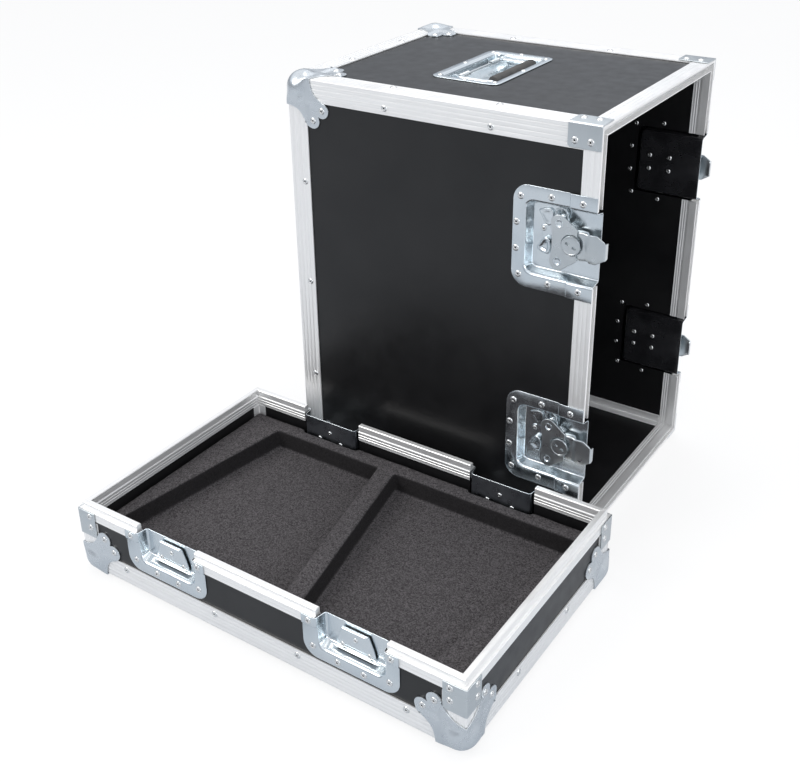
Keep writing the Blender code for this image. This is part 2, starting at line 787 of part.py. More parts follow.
def latch_dish(name, axes, at):
    pan = settle(dish_pan(name, dish_rings(DISH_LENGTH, DISH_WIDTH, RIM_LEG)))
    post_foot = -FLOOR_IN + DISH_SHEET / 2
    cover_low = -COVER_TOP - COVER_SHEET
    shaft_hole = arc((-LATCH_INSET, 0.0), KEY_SHAFT_RADIUS + SLACK, 0, SHAFT_ARC, 15)
    cover = plate("cover", cover_outline(), cover_low, -COVER_TOP, holes=(shaft_hole,))
    for side in (-1, 1):
        middle = (-LATCH_INSET - POST_BEHIND, side * POST_ASIDE)
        post = cylinder("post", POST_RADIUS, post_foot, -COVER_TOP + POST_PROUD,
                        12, middle)
        boolean(cover, post, "UNION")
    boolean(pan, cover, "UNION")
    return keep(place(pan, axes, at), "zinc")


def latch_key(name, axes, at):
    """Turning disc with two slots for a key, on the shaft that draws the hook."""
    top = -COVER_TOP + SLACK + KEY_SHEET
    bottom = -FLOOR_IN + DISH_SHEET + SLACK
    disc = cylinder(name, KEY_RADIUS, top - KEY_SHEET, top, 28)
    shaft = cylinder("shaft", KEY_SHAFT_RADIUS, bottom, top - KEY_SHEET / 2, 16)
    boolean(disc, shaft, "UNION")
    for side in (-1, 1):
        middle = side * KEY_RADIUS * BEAD_AT
        slot = box("slot", (middle - KEY_SLOT / 2, -KEY_SLOT, top - KEY_SHEET / 2),
                   (middle + KEY_SLOT / 2, KEY_SLOT, top + KEY_SHEET))
        boolean(disc, slot, "DIFFERENCE")
    origin = Vector(at) - axes[0] * LATCH_INSET
    return keep(place(disc, axes, origin), "zinc")


def hook_outline():
    """Hook seen from outside the wall, x = 0 at the key's centre."""
    tip = LATCH_INSET + HOOK_REACH
    root = LATCH_INSET - HOOK_SHOULDER
    neck = HOOK_NECK_WIDTH / 2
    behind = -KEY_SHAFT_RADIUS - HOOK_TRAVEL - HOOK_BEHIND
    lower = [(behind + HOOK_NIP, -neck), (root - HOOK_FLARE, -neck), (root, -HOOK_ROOT_WIDTH / 2),
             (LATCH_INSET, -HOOK_ROOT_WIDTH / 2), (tip + SLACK, -HOOK_TIP_WIDTH / 2)]
    upper = [(x, -y) for x, y in lower[::-1]]
    return lower + upper + [(behind - SLACK, neck - HOOK_NIP), (behind - SLACK, -neck + HOOK_NIP)]


def latch_hook(name, axes, at):
    """Bent plate hook: a neck under the cover plate, a blade past the opening and a lip at its tip."""
    tip = LATCH_INSET + HOOK_REACH
    neck_top = -COVER_TOP - COVER_SHEET - SLACK
    blade_top = -HOOK_BLADE_DEPTH
    behind = -KEY_SHAFT_RADIUS - HOOK_TRAVEL - HOOK_BEHIND
    root = LATCH_INSET - HOOK_CRANK
    lip_low = blade_top - HOOK_SHEET - HOOK_LIP
    side_view = [
        (behind, neck_top - HOOK_SHEET), (root, neck_top - HOOK_SHEET),
        (root + HOOK_STEP, blade_top - HOOK_SHEET), (tip - HOOK_SHEET, blade_top - HOOK_SHEET),
        (tip - HOOK_SHEET, lip_low), (tip, lip_low), (tip, blade_top), (root + HOOK_FLARE, blade_top),
        (root - HOOK_SHEET / 2, neck_top), (behind, neck_top),
    ]
    body = plate(name, side_view, -HOOK_ROOT_WIDTH, HOOK_ROOT_WIDTH)
    body.data.transform(Matrix.Rotation(math.pi / 2, 4, "X"))
    slot_reach = HOOK_TRAVEL + SLACK
    hole = (arc((slot_reach, 0.0), KEY_SHAFT_RADIUS + SLACK, -90, 90, 6)
            + arc((0.0, 0.0), KEY_SHAFT_RADIUS + SLACK, 90, 270, 6))
    mask = plate("mask", hook_outline(), -FLOOR_IN, GAP, holes=(hole,))
    boolean(body, mask, "INTERSECT")
    origin = Vector(at) - axes[0] * LATCH_INSET
    return keep(place(body, axes, origin), "zinc")


def catch_dish(name, axes, at):
    """Tray half of a latch: a pan with a lipped strike plate on its floor."""
    pan = settle(dish_pan(name, dish_rings(CATCH_HEIGHT, DISH_WIDTH, TRAY_RIM_LEG)))
    foot = -FLOOR_IN + DISH_SHEET / 2
    face = -FLOOR_IN + DISH_SHEET + STRIKE_RISE
    crest = -STRIKE_DROP
    bottom = crest - STRIKE_HEIGHT
    rise_end = bottom + STRIKE_FOOT + STRIKE_RISE
    side_view = [
        (bottom, foot), (bottom + STRIKE_FOOT, foot), (rise_end, face - STRIKE_SHEET),
        (crest, face - STRIKE_SHEET), (crest, face + STRIKE_LIP), (crest - STRIKE_SHEET, face + STRIKE_LIP),
        (crest - STRIKE_SHEET, face), (rise_end - STRIKE_SHEET / 2, face),
        (bottom + STRIKE_FOOT - STRIKE_SHEET / 2, foot + STRIKE_SHEET), (bottom, foot + STRIKE_SHEET),
    ]
    strike = plate("strike", side_view, -STRIKE_WIDTH / 2, STRIKE_WIDTH / 2)
    strike.data.transform(Matrix.Rotation(math.pi / 2, 4, "X"))
    boolean(pan, strike, "UNION")
    return keep(place(pan, axes, at), "zinc")


# Handles

def handle_dish(name, axes, at):
    """Recessed pan with a flange all round and two ears that hold the bail's ends."""
    half = (HANDLE_WIDTH / 2, HANDLE_LENGTH / 2)
    mouth = (half[0] - HANDLE_FLANGE, half[1] - HANDLE_FLANGE)
    floor = (mouth[0] - HANDLE_DRAFT, mouth[1] - HANDLE_DRAFT)
    loops = (
        (half, HANDLE_CORNER, -FLANGE_IN),
        (mouth, HANDLE_FLOOR_CORNER, -FLANGE_IN),
        (floor, HANDLE_FLOOR_CORNER, -FLANGE_IN - HANDLE_DEPTH),
    )
    bm = bmesh.new()
    rings = []
    for (x, y), corner, level in loops:
        rings.append([bm.verts.new((*point, level)) for point in rounded((-x, -y), (x, y), corner, 3)])
    for outer, inner in zip(rings, rings[1:]):
        count = len(outer)
        for index in range(count):
            after = (index + 1) % count
            bm.faces.new((outer[index], outer[after], inner[after], inner[index]))
    bm.faces.new(rings[-1])
    pan = object_from(name, bm)
    sheet = pan.modifiers.new("sheet", "SOLIDIFY")
    sheet.thickness = DISH_SHEET
    sheet.offset = -1.0
    sheet.use_even_offset = True
    settle(pan)
    pivot_z = -GRIP_RADIUS + GRIP_PROUD
    floor_level = -FLANGE_IN - HANDLE_DEPTH
    for side in (-1, 1):
        outer_face = side * HANDLE_EARS_AT
        inner_face = outer_face - side * PIVOT_EAR
        low_y, high_y = sorted((outer_face, inner_face))
        ear_outline = arc((-PIVOT_BEHIND, pivot_z), BAIL_RADIUS + EAR_WALL, 0, 180, 6)
        ear_outline += [(-PIVOT_BEHIND - BAIL_RADIUS - EAR_WALL, floor_level + DISH_SHEET / 2),
                        (-PIVOT_BEHIND + BAIL_RADIUS + EAR_WALL, floor_level + DISH_SHEET / 2)]
        bore = arc((-PIVOT_BEHIND, pivot_z), BAIL_RADIUS - PIN_STEP + GAP, 0, 330, 11)
        ear = plate("ear", ear_outline, -high_y, -low_y, holes=(bore,))
        ear.data.transform(Matrix.Rotation(math.pi / 2, 4, "X"))
        boolean(pan, ear, "UNION")
    return keep(place(pan, axes, at), "zinc")


def handle_bail(name, axes, at):
    """Steel bail: an arm and a pivot pin at each end of a bar that runs through the grip."""
    arm_y = GRIP_LENGTH / 2 + SLACK + BAIL_RADIUS
    reach = PIVOT_BEHIND + GRIP_AHEAD
    bar = cylinder(name, BAIL_RADIUS, -arm_y, arm_y, 12)
    bar.data.transform(Matrix.Translation((reach, 0.0, 0.0)) @ Matrix.Rotation(math.pi / 2, 4, "X"))
    for side in (-1, 1):
        arm_outline = (arc((0.0, 0.0), BAIL_RADIUS + ARM_WALL, 90, 270, 5)
                       + arc((reach, 0.0), BAIL_RADIUS + ARM_WALL, -90, 90, 5))
        low_y, high_y = sorted((side * (arm_y - BAIL_RADIUS), side * (arm_y + BAIL_RADIUS)))
        arm = plate("arm", arm_outline, -high_y, -low_y)
        arm.data.transform(Matrix.Rotation(math.pi / 2, 4, "X"))
        boolean(bar, arm, "UNION")
        tip = side * (arm_y + BAIL_RADIUS + SLACK + PIVOT_EAR - GAP)
        low_y, high_y = sorted((side * arm_y, tip))
        pin = cylinder("pin", BAIL_RADIUS - PIN_STEP, -high_y, -low_y, 12)
        pin.data.transform(Matrix.Rotation(math.pi / 2, 4, "X"))
        boolean(bar, pin, "UNION")
    pivot = Vector(at) - axes[0] * PIVOT_BEHIND - axes[2] * (GRIP_RADIUS - GRIP_PROUD)
    return keep(place(bar, axes, pivot), "zinc")


def handle_grip(name, axes, at):
    """Rubber grip, a thick sleeve over the bail's bar, flatter on the side that lies on the case."""
    reach = PIVOT_BEHIND + GRIP_AHEAD
    sleeve = [(x + reach, y) for x, y in arc((0.0, 0.0), GRIP_RADIUS, -40, 220, 14)]
    bore = arc((reach, 0.0), BAIL_RADIUS + GAP, 0, 330, 11)
    grip = plate(name, sleeve, -GRIP_LENGTH / 2, GRIP_LENGTH / 2, holes=(bore,))
    grip.data.transform(Matrix.Rotation(math.pi / 2, 4, "X"))
    grip.data.shade_smooth()
    grip.data.set_sharp_from_angle(angle=math.radians(40))
    pivot = Vector(at) - axes[0] * PIVOT_BEHIND - axes[2] * (GRIP_RADIUS - GRIP_PROUD)
    return keep(place(grip, axes, pivot), "rubber")


# Foam

def foam_insert():
    """Soft block with two mirrored wedge-shaped pockets, one for each speaker."""
    side = EDGING_IN + FOAM_SIDE
    bottom = PANEL_IN + GAP
    size = (CASE_WIDTH - 2 * side, CASE_DEPTH - 2 * side)
    foam = box("foam_insert", (side, side, bottom), (side + size[0], side + size[1], FOAM_TOP))
    leg_reach = EDGING_IN + INNER_LEG - INNER_WALL + GAP
    for low, high in (
        ((0, 0), (CASE_WIDTH, leg_reach)), ((0, CASE_DEPTH - leg_reach), (CASE_WIDTH, CASE_DEPTH)),
        ((0, 0), (leg_reach, CASE_DEPTH)), ((CASE_WIDTH - leg_reach, 0), (CASE_WIDTH, CASE_DEPTH)),
    ):
        step = box("step", (*low, 0.0), (*high, EDGING_IN + GAP))
        boolean(foam, step, "DIFFERENCE")
    near_low = POCKET_MARGIN
    pocket = [
        (near_low, POCKET_END), (near_low + POCKET_WIDE, POCKET_END),
        (near_low + POCKET_SKEW + POCKET_NARROW, CASE_DEPTH - POCKET_END),
        (near_low + POCKET_SKEW, CASE_DEPTH - POCKET_END),
    ]
    turned = [(CASE_WIDTH - x, CASE_DEPTH - y) for x, y in pocket]
    for outline in (pocket, turned):
        hollow = plate("hollow", outline, POCKET_FLOOR, FOAM_TOP + SLACK)
        boolean(foam, hollow, "DIFFERENCE")
    notch_low = TRAY_HEIGHT - CATCH_HEIGHT + DISH_FLANGE - DISH_SHEET - SLACK
    notch_in = FLOOR_IN + DISH_SHEET + SLACK
    for middle in LATCH_PLACES:
        for low_y, high_y in ((0.0, notch_in), (CASE_DEPTH - notch_in, CASE_DEPTH)):
            notch = box("notch", (middle - NOTCH_HALF, low_y, notch_low),
                        (middle + NOTCH_HALF, high_y, FOAM_TOP + SLACK))
            boolean(foam, notch, "DIFFERENCE")
    return keep(place(foam, (X, Y, Z), TRAY_AT), "foam")


# Put together

def build_hood():
    low = HOOD_AT
    high = HOOD_AT + Vector((HOOD_LENGTH, CASE_DEPTH, CASE_WIDTH))
    hood_frame()
    hood_boards()
    opening = Vector((high.x, low.y, low.z))
    rim_pieces("hood_rim_", groove_profile(), opening, high, Z, Y, -X,
               ("lower", "upper", "front", "back"))
    for level, z_side in (("lower", 0), ("upper", 1)):
        for wall, y_side in (("front", 0), ("back", 1)):
            y = (low.y, high.y)[y_side]
            z = (low.z, high.z)[z_side]
            inward = (1, 1 - 2 * y_side, 1 - 2 * z_side)
            ball_corner(f"hood_ball_{wall}_{level}", (low.x, y, z), inward)
            brace(f"hood_brace_{wall}_{level}", HOOD_BRACE, (high.x, y, z), Y * inward[1], Z * inward[2], -X)
            latch_z = low.z + LATCH_PLACES[z_side]
            axes = ((X, Z, -Y), (X, -Z, Y))[y_side]
            at = Vector((high.x, y, latch_z))
            latch_dish(f"latch_dish_{wall}_{level}", axes, at)
            latch_key(f"latch_key_{wall}_{level}", axes, at)
            latch_hook(f"latch_hook_{wall}_{level}", axes, at)
    for side, axes, z in (("top", (X, Y, Z), high.z), ("bottom", (X, -Y, -Z), low.z)):
        at = Vector((low.x + HANDLE_INSET, (low.y + high.y) / 2, z))
        handle_dish(f"handle_dish_{side}", axes, at)
        handle_bail(f"handle_bail_{side}", axes, at)
        handle_grip(f"handle_grip_{side}", axes, at)


def build_tray():
    low = TRAY_AT
    high = TRAY_AT + Vector((CASE_WIDTH, CASE_DEPTH, TRAY_HEIGHT))
    tray_frame()
    tray_boards()
    foam_insert()
    ledge = Vector((low.x, high.y, high.z))
    rim_pieces("tray_rim_", tongue_profile(), ledge, Vector((high.x, low.y, high.z)), X, -Y, -Z,
               ("left", "right", "far", "near"))
    for hand, x_side in (("left", 0), ("right", 1)):
        for wall, y_side in (("near", 0), ("far", 1)):
            x = (low.x, high.x)[x_side]
            y = (low.y, high.y)[y_side]
            inward = (1 - 2 * x_side, 1 - 2 * y_side, 1)
            ball_corner(f"tray_ball_{wall}_{hand}", (x, y, low.z), inward)
            brace(f"tray_brace_{wall}_{hand}", TRAY_BRACE, (x, y, high.z), X * inward[0], Y * inward[1], -Z)
            axes = ((Z, -X, -Y), (Z, X, Y))[y_side]
            catch_dish(f"catch_dish_{wall}_{hand}", axes, Vector((low.x + LATCH_PLACES[x_side], y, high.z)))


build_hood()
build_tray()
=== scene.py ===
"""Looks of an open road case for a speaker: a hood standing beside its foam-lined tray."""
import math

import bmesh
import bpy
from mathutils import Matrix, Vector
from mathutils import noise as patterns


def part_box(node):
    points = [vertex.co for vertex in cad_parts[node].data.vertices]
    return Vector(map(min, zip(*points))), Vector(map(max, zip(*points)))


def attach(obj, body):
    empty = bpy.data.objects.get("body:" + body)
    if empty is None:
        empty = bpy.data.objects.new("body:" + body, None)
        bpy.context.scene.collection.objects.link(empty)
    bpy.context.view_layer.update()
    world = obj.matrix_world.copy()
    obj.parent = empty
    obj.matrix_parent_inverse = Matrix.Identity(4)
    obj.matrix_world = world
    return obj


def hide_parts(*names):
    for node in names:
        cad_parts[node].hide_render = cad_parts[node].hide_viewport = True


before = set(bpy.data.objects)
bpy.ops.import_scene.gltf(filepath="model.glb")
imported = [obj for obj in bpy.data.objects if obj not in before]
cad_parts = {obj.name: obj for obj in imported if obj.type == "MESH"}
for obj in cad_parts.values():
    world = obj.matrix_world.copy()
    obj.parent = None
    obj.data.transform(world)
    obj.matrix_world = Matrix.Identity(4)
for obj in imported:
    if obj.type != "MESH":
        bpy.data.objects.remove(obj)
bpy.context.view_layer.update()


# The boards are 9 mm birch plywood with a black plastic laminate pressed on both faces. They slide into
# the channels of the edging. The laminate has a fine pebble grain that catches the light at a low angle.

def wired(tree, kind, inputs=(), **settings):
    """Node whose inputs each take a value or what another node gives."""
    made = tree.nodes.new("ShaderNode" + kind)
    for key, value in settings.items():
        setattr(made, key, value)
    for key, value in dict(inputs).items():
        if isinstance(value, bpy.types.NodeSocket):
            tree.links.new(value, made.inputs[key])
        else:
            made.inputs[key].default_value = value
    return made.outputs


def grain(tree, scale, detail=3.0, stretch=(1.0, 1.0, 1.0), rough=0.5):
    """Noise fixed to the piece, in metres: scale is in patches per metre."""
    place = wired(tree, "TexCoord")["Object"]
    spread = wired(tree, "Mapping", {"Vector": place, "Scale": stretch})["Vector"]
    noise = {"Vector": spread, "Scale": scale, "Detail": detail, "Roughness": rough}
    return wired(tree, "TexNoise", noise)["Fac"]


def spread_to(tree, factor, low, high, start=0.3, stop=0.7):
    """A number that runs from low to high as the pattern runs from start to stop."""
    return wired(tree, "MapRange", {"Value": factor, "From Min": start, "From Max": stop,
                                    "To Min": low, "To Max": high})["Result"]


def mixed(tree, factor, low, high):
    """Colour that runs from low to high as a number runs from 0 to 1."""
    return wired(tree, "Mix", {"Factor": factor, "A": (*low, 1.0), "B": (*high, 1.0)},
                 data_type="RGBA")["Result"]


def surface(name, colour, metallic, roughness, specular=0.5):
    made = bpy.data.materials.new(name)
    made.use_nodes = True
    shader = made.node_tree.nodes["Principled BSDF"]
    for key, value in (("Base Color", (*colour, 1.0)), ("Metallic", metallic), ("Roughness", roughness),
                       ("Specular IOR Level", specular)):
        shader.inputs[key].default_value = value
    return made, made.node_tree, shader


def feed(tree, shader, sources):
    """Let patterns take the place of the plain colour, roughness or surface direction."""
    for key, source in sources.items():
        tree.links.new(source, shader.inputs[key])


def embossed(tree, heights):
    """Bumps from (pattern, depth in metres, strength), one on top of the other."""
    under = {}
    for height, depth, strength in heights:
        bump = {"Height": height, "Distance": depth, "Strength": strength, **under}
        under = {"Normal": wired(tree, "Bump", bump)["Normal"]}
    return under["Normal"]


def patterned(name, plain, grains, tint, rough=None, bumps=()):
    """Material that follows named patterns: its tint and its roughness are (pattern, low, high)."""
    made, tree, shader = surface(name, *plain)
    found = {key: grain(tree, *values) for key, values in grains.items()}
    sources = {"Base Color": mixed(tree, spread_to(tree, found[tint[0]], 0.0, 1.0), *tint[1:])}
    if rough:
        sources["Roughness"] = spread_to(tree, found[rough[0]], *rough[1:])
    if bumps:
        sources["Normal"] = embossed(tree, [(found[key], *values) for key, *values in bumps])
    feed(tree, shader, sources)
    return made


laminate = patterned(
    "black laminate", ((0.006, 0.006, 0.007), 0.0, 0.34, 0.44),
    {"cloud": (9.0, 4.0), "pebble": (1500.0, 2.0), "scuff": (55.0, 5.0)},
    ("cloud", (0.0045, 0.0045, 0.0050), (0.0090, 0.0088, 0.0092)), ("scuff", 0.28, 0.38),
    [("pebble", 0.00010, 0.25), ("cloud", 0.0004, 0.08)])
BOARDS = ["hood_closed_end", "hood_front_side", "hood_back_side", "hood_top_side", "hood_bottom_side",
          "tray_floor", "tray_near_side", "tray_far_side", "tray_left_side", "tray_right_side"]
for board in BOARDS:
    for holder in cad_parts[board].material_slots:
        holder.material = laminate


# The edging is extruded aluminium angle, sawn to length, with a channel inside that grips the boards.
# Its outer legs are 30 mm wide and have fine ribs along them. It is left with a satin anodised skin.

WALL = 0.0016
EDGE_LEG = 0.030
GAP = 0.0003
CHANNEL = 0.0112
INNER_WALL = 0.0014
EDGING_IN = CHANNEL + INNER_WALL
INNER_LEG = 0.0130
WEB = 0.0012
RIB_COUNT = 4
RIB_HALF = 0.0008
RIB_DEPTH = 0.00024
RIB_SHAPE = ((-1.0, 0.0), (-0.5, 0.62), (0.0, 1.0), (0.5, 0.62), (1.0, 0.0))
NOSE = 0.0011
NIP_REACH = 0.035
EDGE_BREAK = (0.00018, 1, 50.0)
TRAY_HEIGHT = 0.0905

X, Y, Z = AXES = [Vector(row) for row in Matrix.Identity(3)]
hood_low, hood_high = [Vector(corner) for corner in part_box("hood_edging")]
hood_stop = hood_high.x
hood_high.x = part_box("hood_rim_upper")[1].x
tray_low, tray_high = [Vector(corner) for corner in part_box("tray_edging")]
tray_stop = tray_high.z
tray_high.z = tray_low.z + TRAY_HEIGHT

# Its drawing lines run along each stick's own X axis.
aluminium = patterned(
    "satin aluminium", ((0.86, 0.855, 0.845), 0.6, 0.36),
    {"lines": (900.0, 3.0, (0.006, 1.0, 1.0)), "cloud": (22.0, 4.0), "fine": (2600.0, 2.0)},
    ("lines", (0.82, 0.81, 0.80), (0.90, 0.895, 0.885)), ("cloud", 0.30, 0.44),
    [("lines", 0.00006, 0.30), ("fine", 0.00004, 0.15)])


def shown(name, mesh, looks, body, place=None, node=None, sheet=None, edges=None):
    """Put a mesh in the scene as a piece that rides on a body. A sheet has (thickness, side, even): side is
    -1 below the modelled face and 1 above it. Broken edges have (width, steps, least angle)."""
    piece = bpy.data.objects.new(name.replace(" ", "_"), mesh)
    bpy.context.scene.collection.objects.link(piece)
    for look in looks:
        mesh.materials.append(look)
    if place is not None:
        piece.matrix_world = place
    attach(piece, body)
    if node:
        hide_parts(node)
    if sheet:
        shell = piece.modifiers.new("sheet", "SOLIDIFY")
        shell.thickness, shell.offset, shell.use_even_offset = sheet
        shell.material_offset = shell.material_offset_rim = len(looks) - 1
    if edges:
        bevel = piece.modifiers.new("broken edges", "BEVEL")
        bevel.width, bevel.segments, angle = edges
        bevel.limit_method = "ANGLE"
        bevel.angle_limit = math.radians(angle)
    return piece


def mesh_from(name, bm, sharp=35.0, front=None):
    """Smooth mesh with sharp edges, or an open sheet whose modelled side is turned to the front."""
    bmesh.ops.recalc_face_normals(bm, faces=bm.faces)
    if front is not None and sum(face.normal.dot(front) * face.calc_area() for face in bm.faces) < 0:
        bmesh.ops.reverse_faces(bm, faces=bm.faces)
    mesh = bpy.data.meshes.new(name)
    bm.to_mesh(mesh)
    bm.free()
    mesh.shade_smooth()
    if front is None:
        mesh.set_sharp_from_angle(angle=math.radians(sharp))
    return mesh


def skin(bm, rows, wrap=True, fill=(0, -1), looped=False):
    """Faces between rows of points: each row can close on itself, and end rows can be filled."""
    made = [[bm.verts.new(point) for point in row] for row in rows]
    for low, high in zip(made, made[1:] + (made[:1] if looped else [])):
        for index in range(len(low) if wrap else len(low) - 1):
            after = (index + 1) % len(low)
            bm.faces.new((low[index], low[after], high[after], high[index]))
    for end in fill:
        bm.faces.new(made[end] if end else made[end][::-1])
    return made


def axes_at(first, second, third, at):
    return Matrix.Translation(Vector(at)) @ Matrix((first, second, third)).transposed().to_4x4()


def cut_flat(bm, at, keep):
    """Saw a closed mesh at a plane, keep the side that a direction points to, and close it."""
    every = bm.verts[:] + bm.edges[:] + bm.faces[:]
    sawn = bmesh.ops.bisect_plane(bm, geom=every, dist=0.0000005, plane_co=at, plane_no=keep,
                                  clear_inner=True)
    rim = [part for part in sawn["geom_cut"] if isinstance(part, bmesh.types.BMEdge) and part.is_boundary]
    if rim:
        bmesh.ops.holes_fill(bm, edges=rim, sides=0)


def ribbed(start, end, count=RIB_COUNT):
    """Soft grooves across a leg: points (along, depth)."""
    step = (end - start) / (count + 1)
    reach = math.copysign(RIB_HALF, step)
    return [(start + step * number + reach * share, depth * RIB_DEPTH)
            for number in range(1, count + 1) for share, depth in RIB_SHAPE]


def corner_profile():
    foot = EDGING_IN + INNER_LEG - INNER_WALL
    first = [(NOSE, 0.0)] + ribbed(0.0, EDGE_LEG)
    first += [(EDGE_LEG, 0.0), (EDGE_LEG, WALL), (WALL + WEB, WALL)]
    first += [(CHANNEL + WEB, CHANNEL), (foot, CHANNEL), (foot, EDGING_IN), (EDGING_IN, EDGING_IN)]
    second = [(across, along) for along, across in first[:-1]]
    nose = NOSE * (1.0 - math.sqrt(0.5))
    return [(nose, nose)] + first + second[::-1]


def stick(name, body, profile, start, end, one, two, saws, node):
    """A sawn length: the profile's points are (in along direction one, in along direction two)."""
    along = one.cross(two)
    if along.dot(end - start) < 0:
        start, end = end, start
    place = axes_at(along, one, two, start)
    bm = bmesh.new()
    skin(bm, [[(reach, a, b) for a, b in profile] for reach in (0.0, (end - start).length)])
    back = place.inverted()
    for at, keep in saws:
        cut_flat(bm, back @ at, back.to_3x3() @ keep)
    shown(name, mesh_from(name, bm, 28.0), [aluminium], body, place, node,
          edges=EDGE_BREAK)


def pick(low, high, sides):
    return Vector([(low, high)[side][axis] for axis, side in enumerate(sides)])


def inward_from(sides):
    return Vector([1.0 - 2.0 * side for side in sides])


angle_profile = corner_profile()


def edging_ring(prefix, body, low, high, first, second, across, node):
    """Four sticks round a closed face, mitred, with the tips cut off where the ball corners sit."""
    for run_axis, set_axis in ((first, second), (second, first)):
        for side in (0, 1):
            into = AXES[set_axis] * (1.0 - 2.0 * side)
            ends, saws = [], []
            for end in (0, 1):
                sides = [0, 0, 0]
                sides[run_axis], sides[set_axis] = end, side
                corner, inward = pick(low, high, sides), inward_from(sides)
                ends.append(corner)
                saws += [(corner, AXES[run_axis] * inward[run_axis] - into),
                         (corner + inward * (NIP_REACH / 3.0), inward)]
            stick(f"{prefix} {run_axis}{side}", body, angle_profile, *ends, into, AXES[across], saws, node)


def edging_posts(prefix, body, low, high, run_axis, stop, node):
    """Four sticks that run from the ring to the rim."""
    one, two = [axis for axis in range(3) if axis != run_axis]
    for one_side in (0, 1):
        for two_side in (0, 1):
            sides = [0, 0, 0]
            sides[one], sides[two] = one_side, two_side
            inward = inward_from(sides)
            start = pick(low, high, sides) + AXES[run_axis] * EDGE_LEG
            end = start.copy()
            end[run_axis] = stop
            stick(f"{prefix} {one_side}{two_side}", body, angle_profile, start, end,
                  AXES[one] * inward[one], AXES[two] * inward[two], [], node)


edging_ring("hood ring edge", "hood", hood_low, hood_high, 1, 2, 0, "hood_edging")
edging_posts("hood long edge", "hood", hood_low, hood_high, 0, hood_stop, "hood_edging")
edging_ring("tray ring edge", "tray", tray_low, tray_high, 0, 1, 2, "tray_edging")
edging_posts("tray post", "tray", tray_low, tray_high, 2, tray_stop, "tray_edging")


# The rim is a pair of extruded lengths that close into each other: a groove round the hood's opening and
# a tongue round the tray's. Both are mitred at the corners and sawn out where the latch dishes go in.

RIM_LEG = 0.0224
RIM_INNER_LEG = 0.0220
RIM_NOSE = 0.0004
LAND = 0.0030
GROOVE_DEPTH = 0.0093
TONGUE_LEDGE = 0.0034
TONGUE_HEIGHT = 0.0087
TONGUE_WIDTH = 0.0082
TONGUE_TAPER = 0.0002
TONGUE_CROWN = 0.0009
TRAY_RIM_LEG = 0.0125
TRAY_RIM_INNER_LEG = 0.0150
RIDGE = 0.0005
RIDGE_PLACES = (0.38, 0.68)
LATCH_PITCH = 0.280
POCKET_HALF = 0.0465
DISH_SHEET = 0.0012
NOTCH_HALF = POCKET_HALF + DISH_SHEET + 0.0006

CASE_WIDTH = hood_high.z - hood_low.z
LATCH_PLACES = ((CASE_WIDTH - LATCH_PITCH) / 2, (CASE_WIDTH + LATCH_PITCH) / 2)


def ridged(start, end):
    """Inner leg with two raised lines along it: points (depth in, along the leg)."""
    flat = EDGING_IN - RIDGE
    points = [(EDGING_IN, start), (EDGING_IN, start + 2 * RIDGE), (flat, start + 3 * RIDGE)]
    for share in RIDGE_PLACES:
        middle = start + (end - start) * share
        points += [(flat, middle - 2 * RIDGE), (EDGING_IN, middle - RIDGE),
                   (EDGING_IN, middle + RIDGE), (flat, middle + 2 * RIDGE)]
    return points + [(flat, end - RIDGE), (flat + RIDGE / 2, end)]


def rim_leg(length, ribs):
    return [(0.0, length)] + [(across, along) for along, across in ribbed(length, 0.0, ribs)]


def groove_profile():
    floor = GROOVE_DEPTH + INNER_WALL
    groove_in = TONGUE_LEDGE + TONGUE_WIDTH + GAP
    inner_out = groove_in + INNER_WALL
    return [
        *rim_leg(RIM_LEG, 3), (0.0, RIM_NOSE), (RIM_NOSE, 0.0), (LAND, 0.0), (LAND, GROOVE_DEPTH),
        (groove_in, GROOVE_DEPTH), (groove_in, 0.0), (inner_out, 0.0), (inner_out, floor),
        *ridged(floor, RIM_INNER_LEG), (CHANNEL, RIM_INNER_LEG), (CHANNEL, floor),
        (WALL, floor), (WALL, RIM_LEG),
    ]


def tongue_profile():
    foot = TONGUE_LEDGE + TONGUE_WIDTH
    left, right = TONGUE_LEDGE + TONGUE_TAPER, foot - TONGUE_TAPER
    top = -TONGUE_HEIGHT
    return [
        *rim_leg(TRAY_RIM_LEG, 2), (0.0, 0.0), (TONGUE_LEDGE, 0.0), (left, top + TONGUE_CROWN),
        (left + TONGUE_CROWN, top), (right - TONGUE_CROWN, top), (right, top + TONGUE_CROWN), (foot, 0.0),
        *ridged(WALL, TRAY_RIM_INNER_LEG), (CHANNEL, TRAY_RIM_INNER_LEG),
        (CHANNEL, GROOVE_DEPTH + WALL), (WALL, GROOVE_DEPTH + WALL), (WALL, TRAY_RIM_LEG),
    ]


def rim_lengths(prefix, body, profile, low, high, first, second, back, ends, middles):
    """Sawn rim lengths: the dishes lie on the two sides that run along the first direction."""
    span = (high - low).dot(first)
    depth = (high - low).dot(second)
    cuts = [middle + way * NOTCH_HALF for middle in LATCH_PLACES for way in (-1, 1)]
    for side, base, into in ((0, low, second), (1, low + second * depth, -second)):
        near, far = (base, first - into), (base + first * span, -first - into)
        for label, start, stop, saws, node in (("low", 0.0, cuts[0], [near], ends[0]),
                                               ("middle", cuts[1], cuts[2], [], middles[side]),
                                               ("high", cuts[3], span, [far], ends[1])):
            stick(f"{prefix} {label} {side}", body, profile, base + first * start, base + first * stop,
                  into, back, saws, node)
    for label, base, into, node in (("low", low, first, ends[0]),
                                    ("high", low + first * span, -first, ends[1])):
        saws = [(base, second - into), (base + second * depth, -second - into)]
        stick(f"{prefix} end {label}", body, profile, base, base + second * depth, into, back, saws, node)


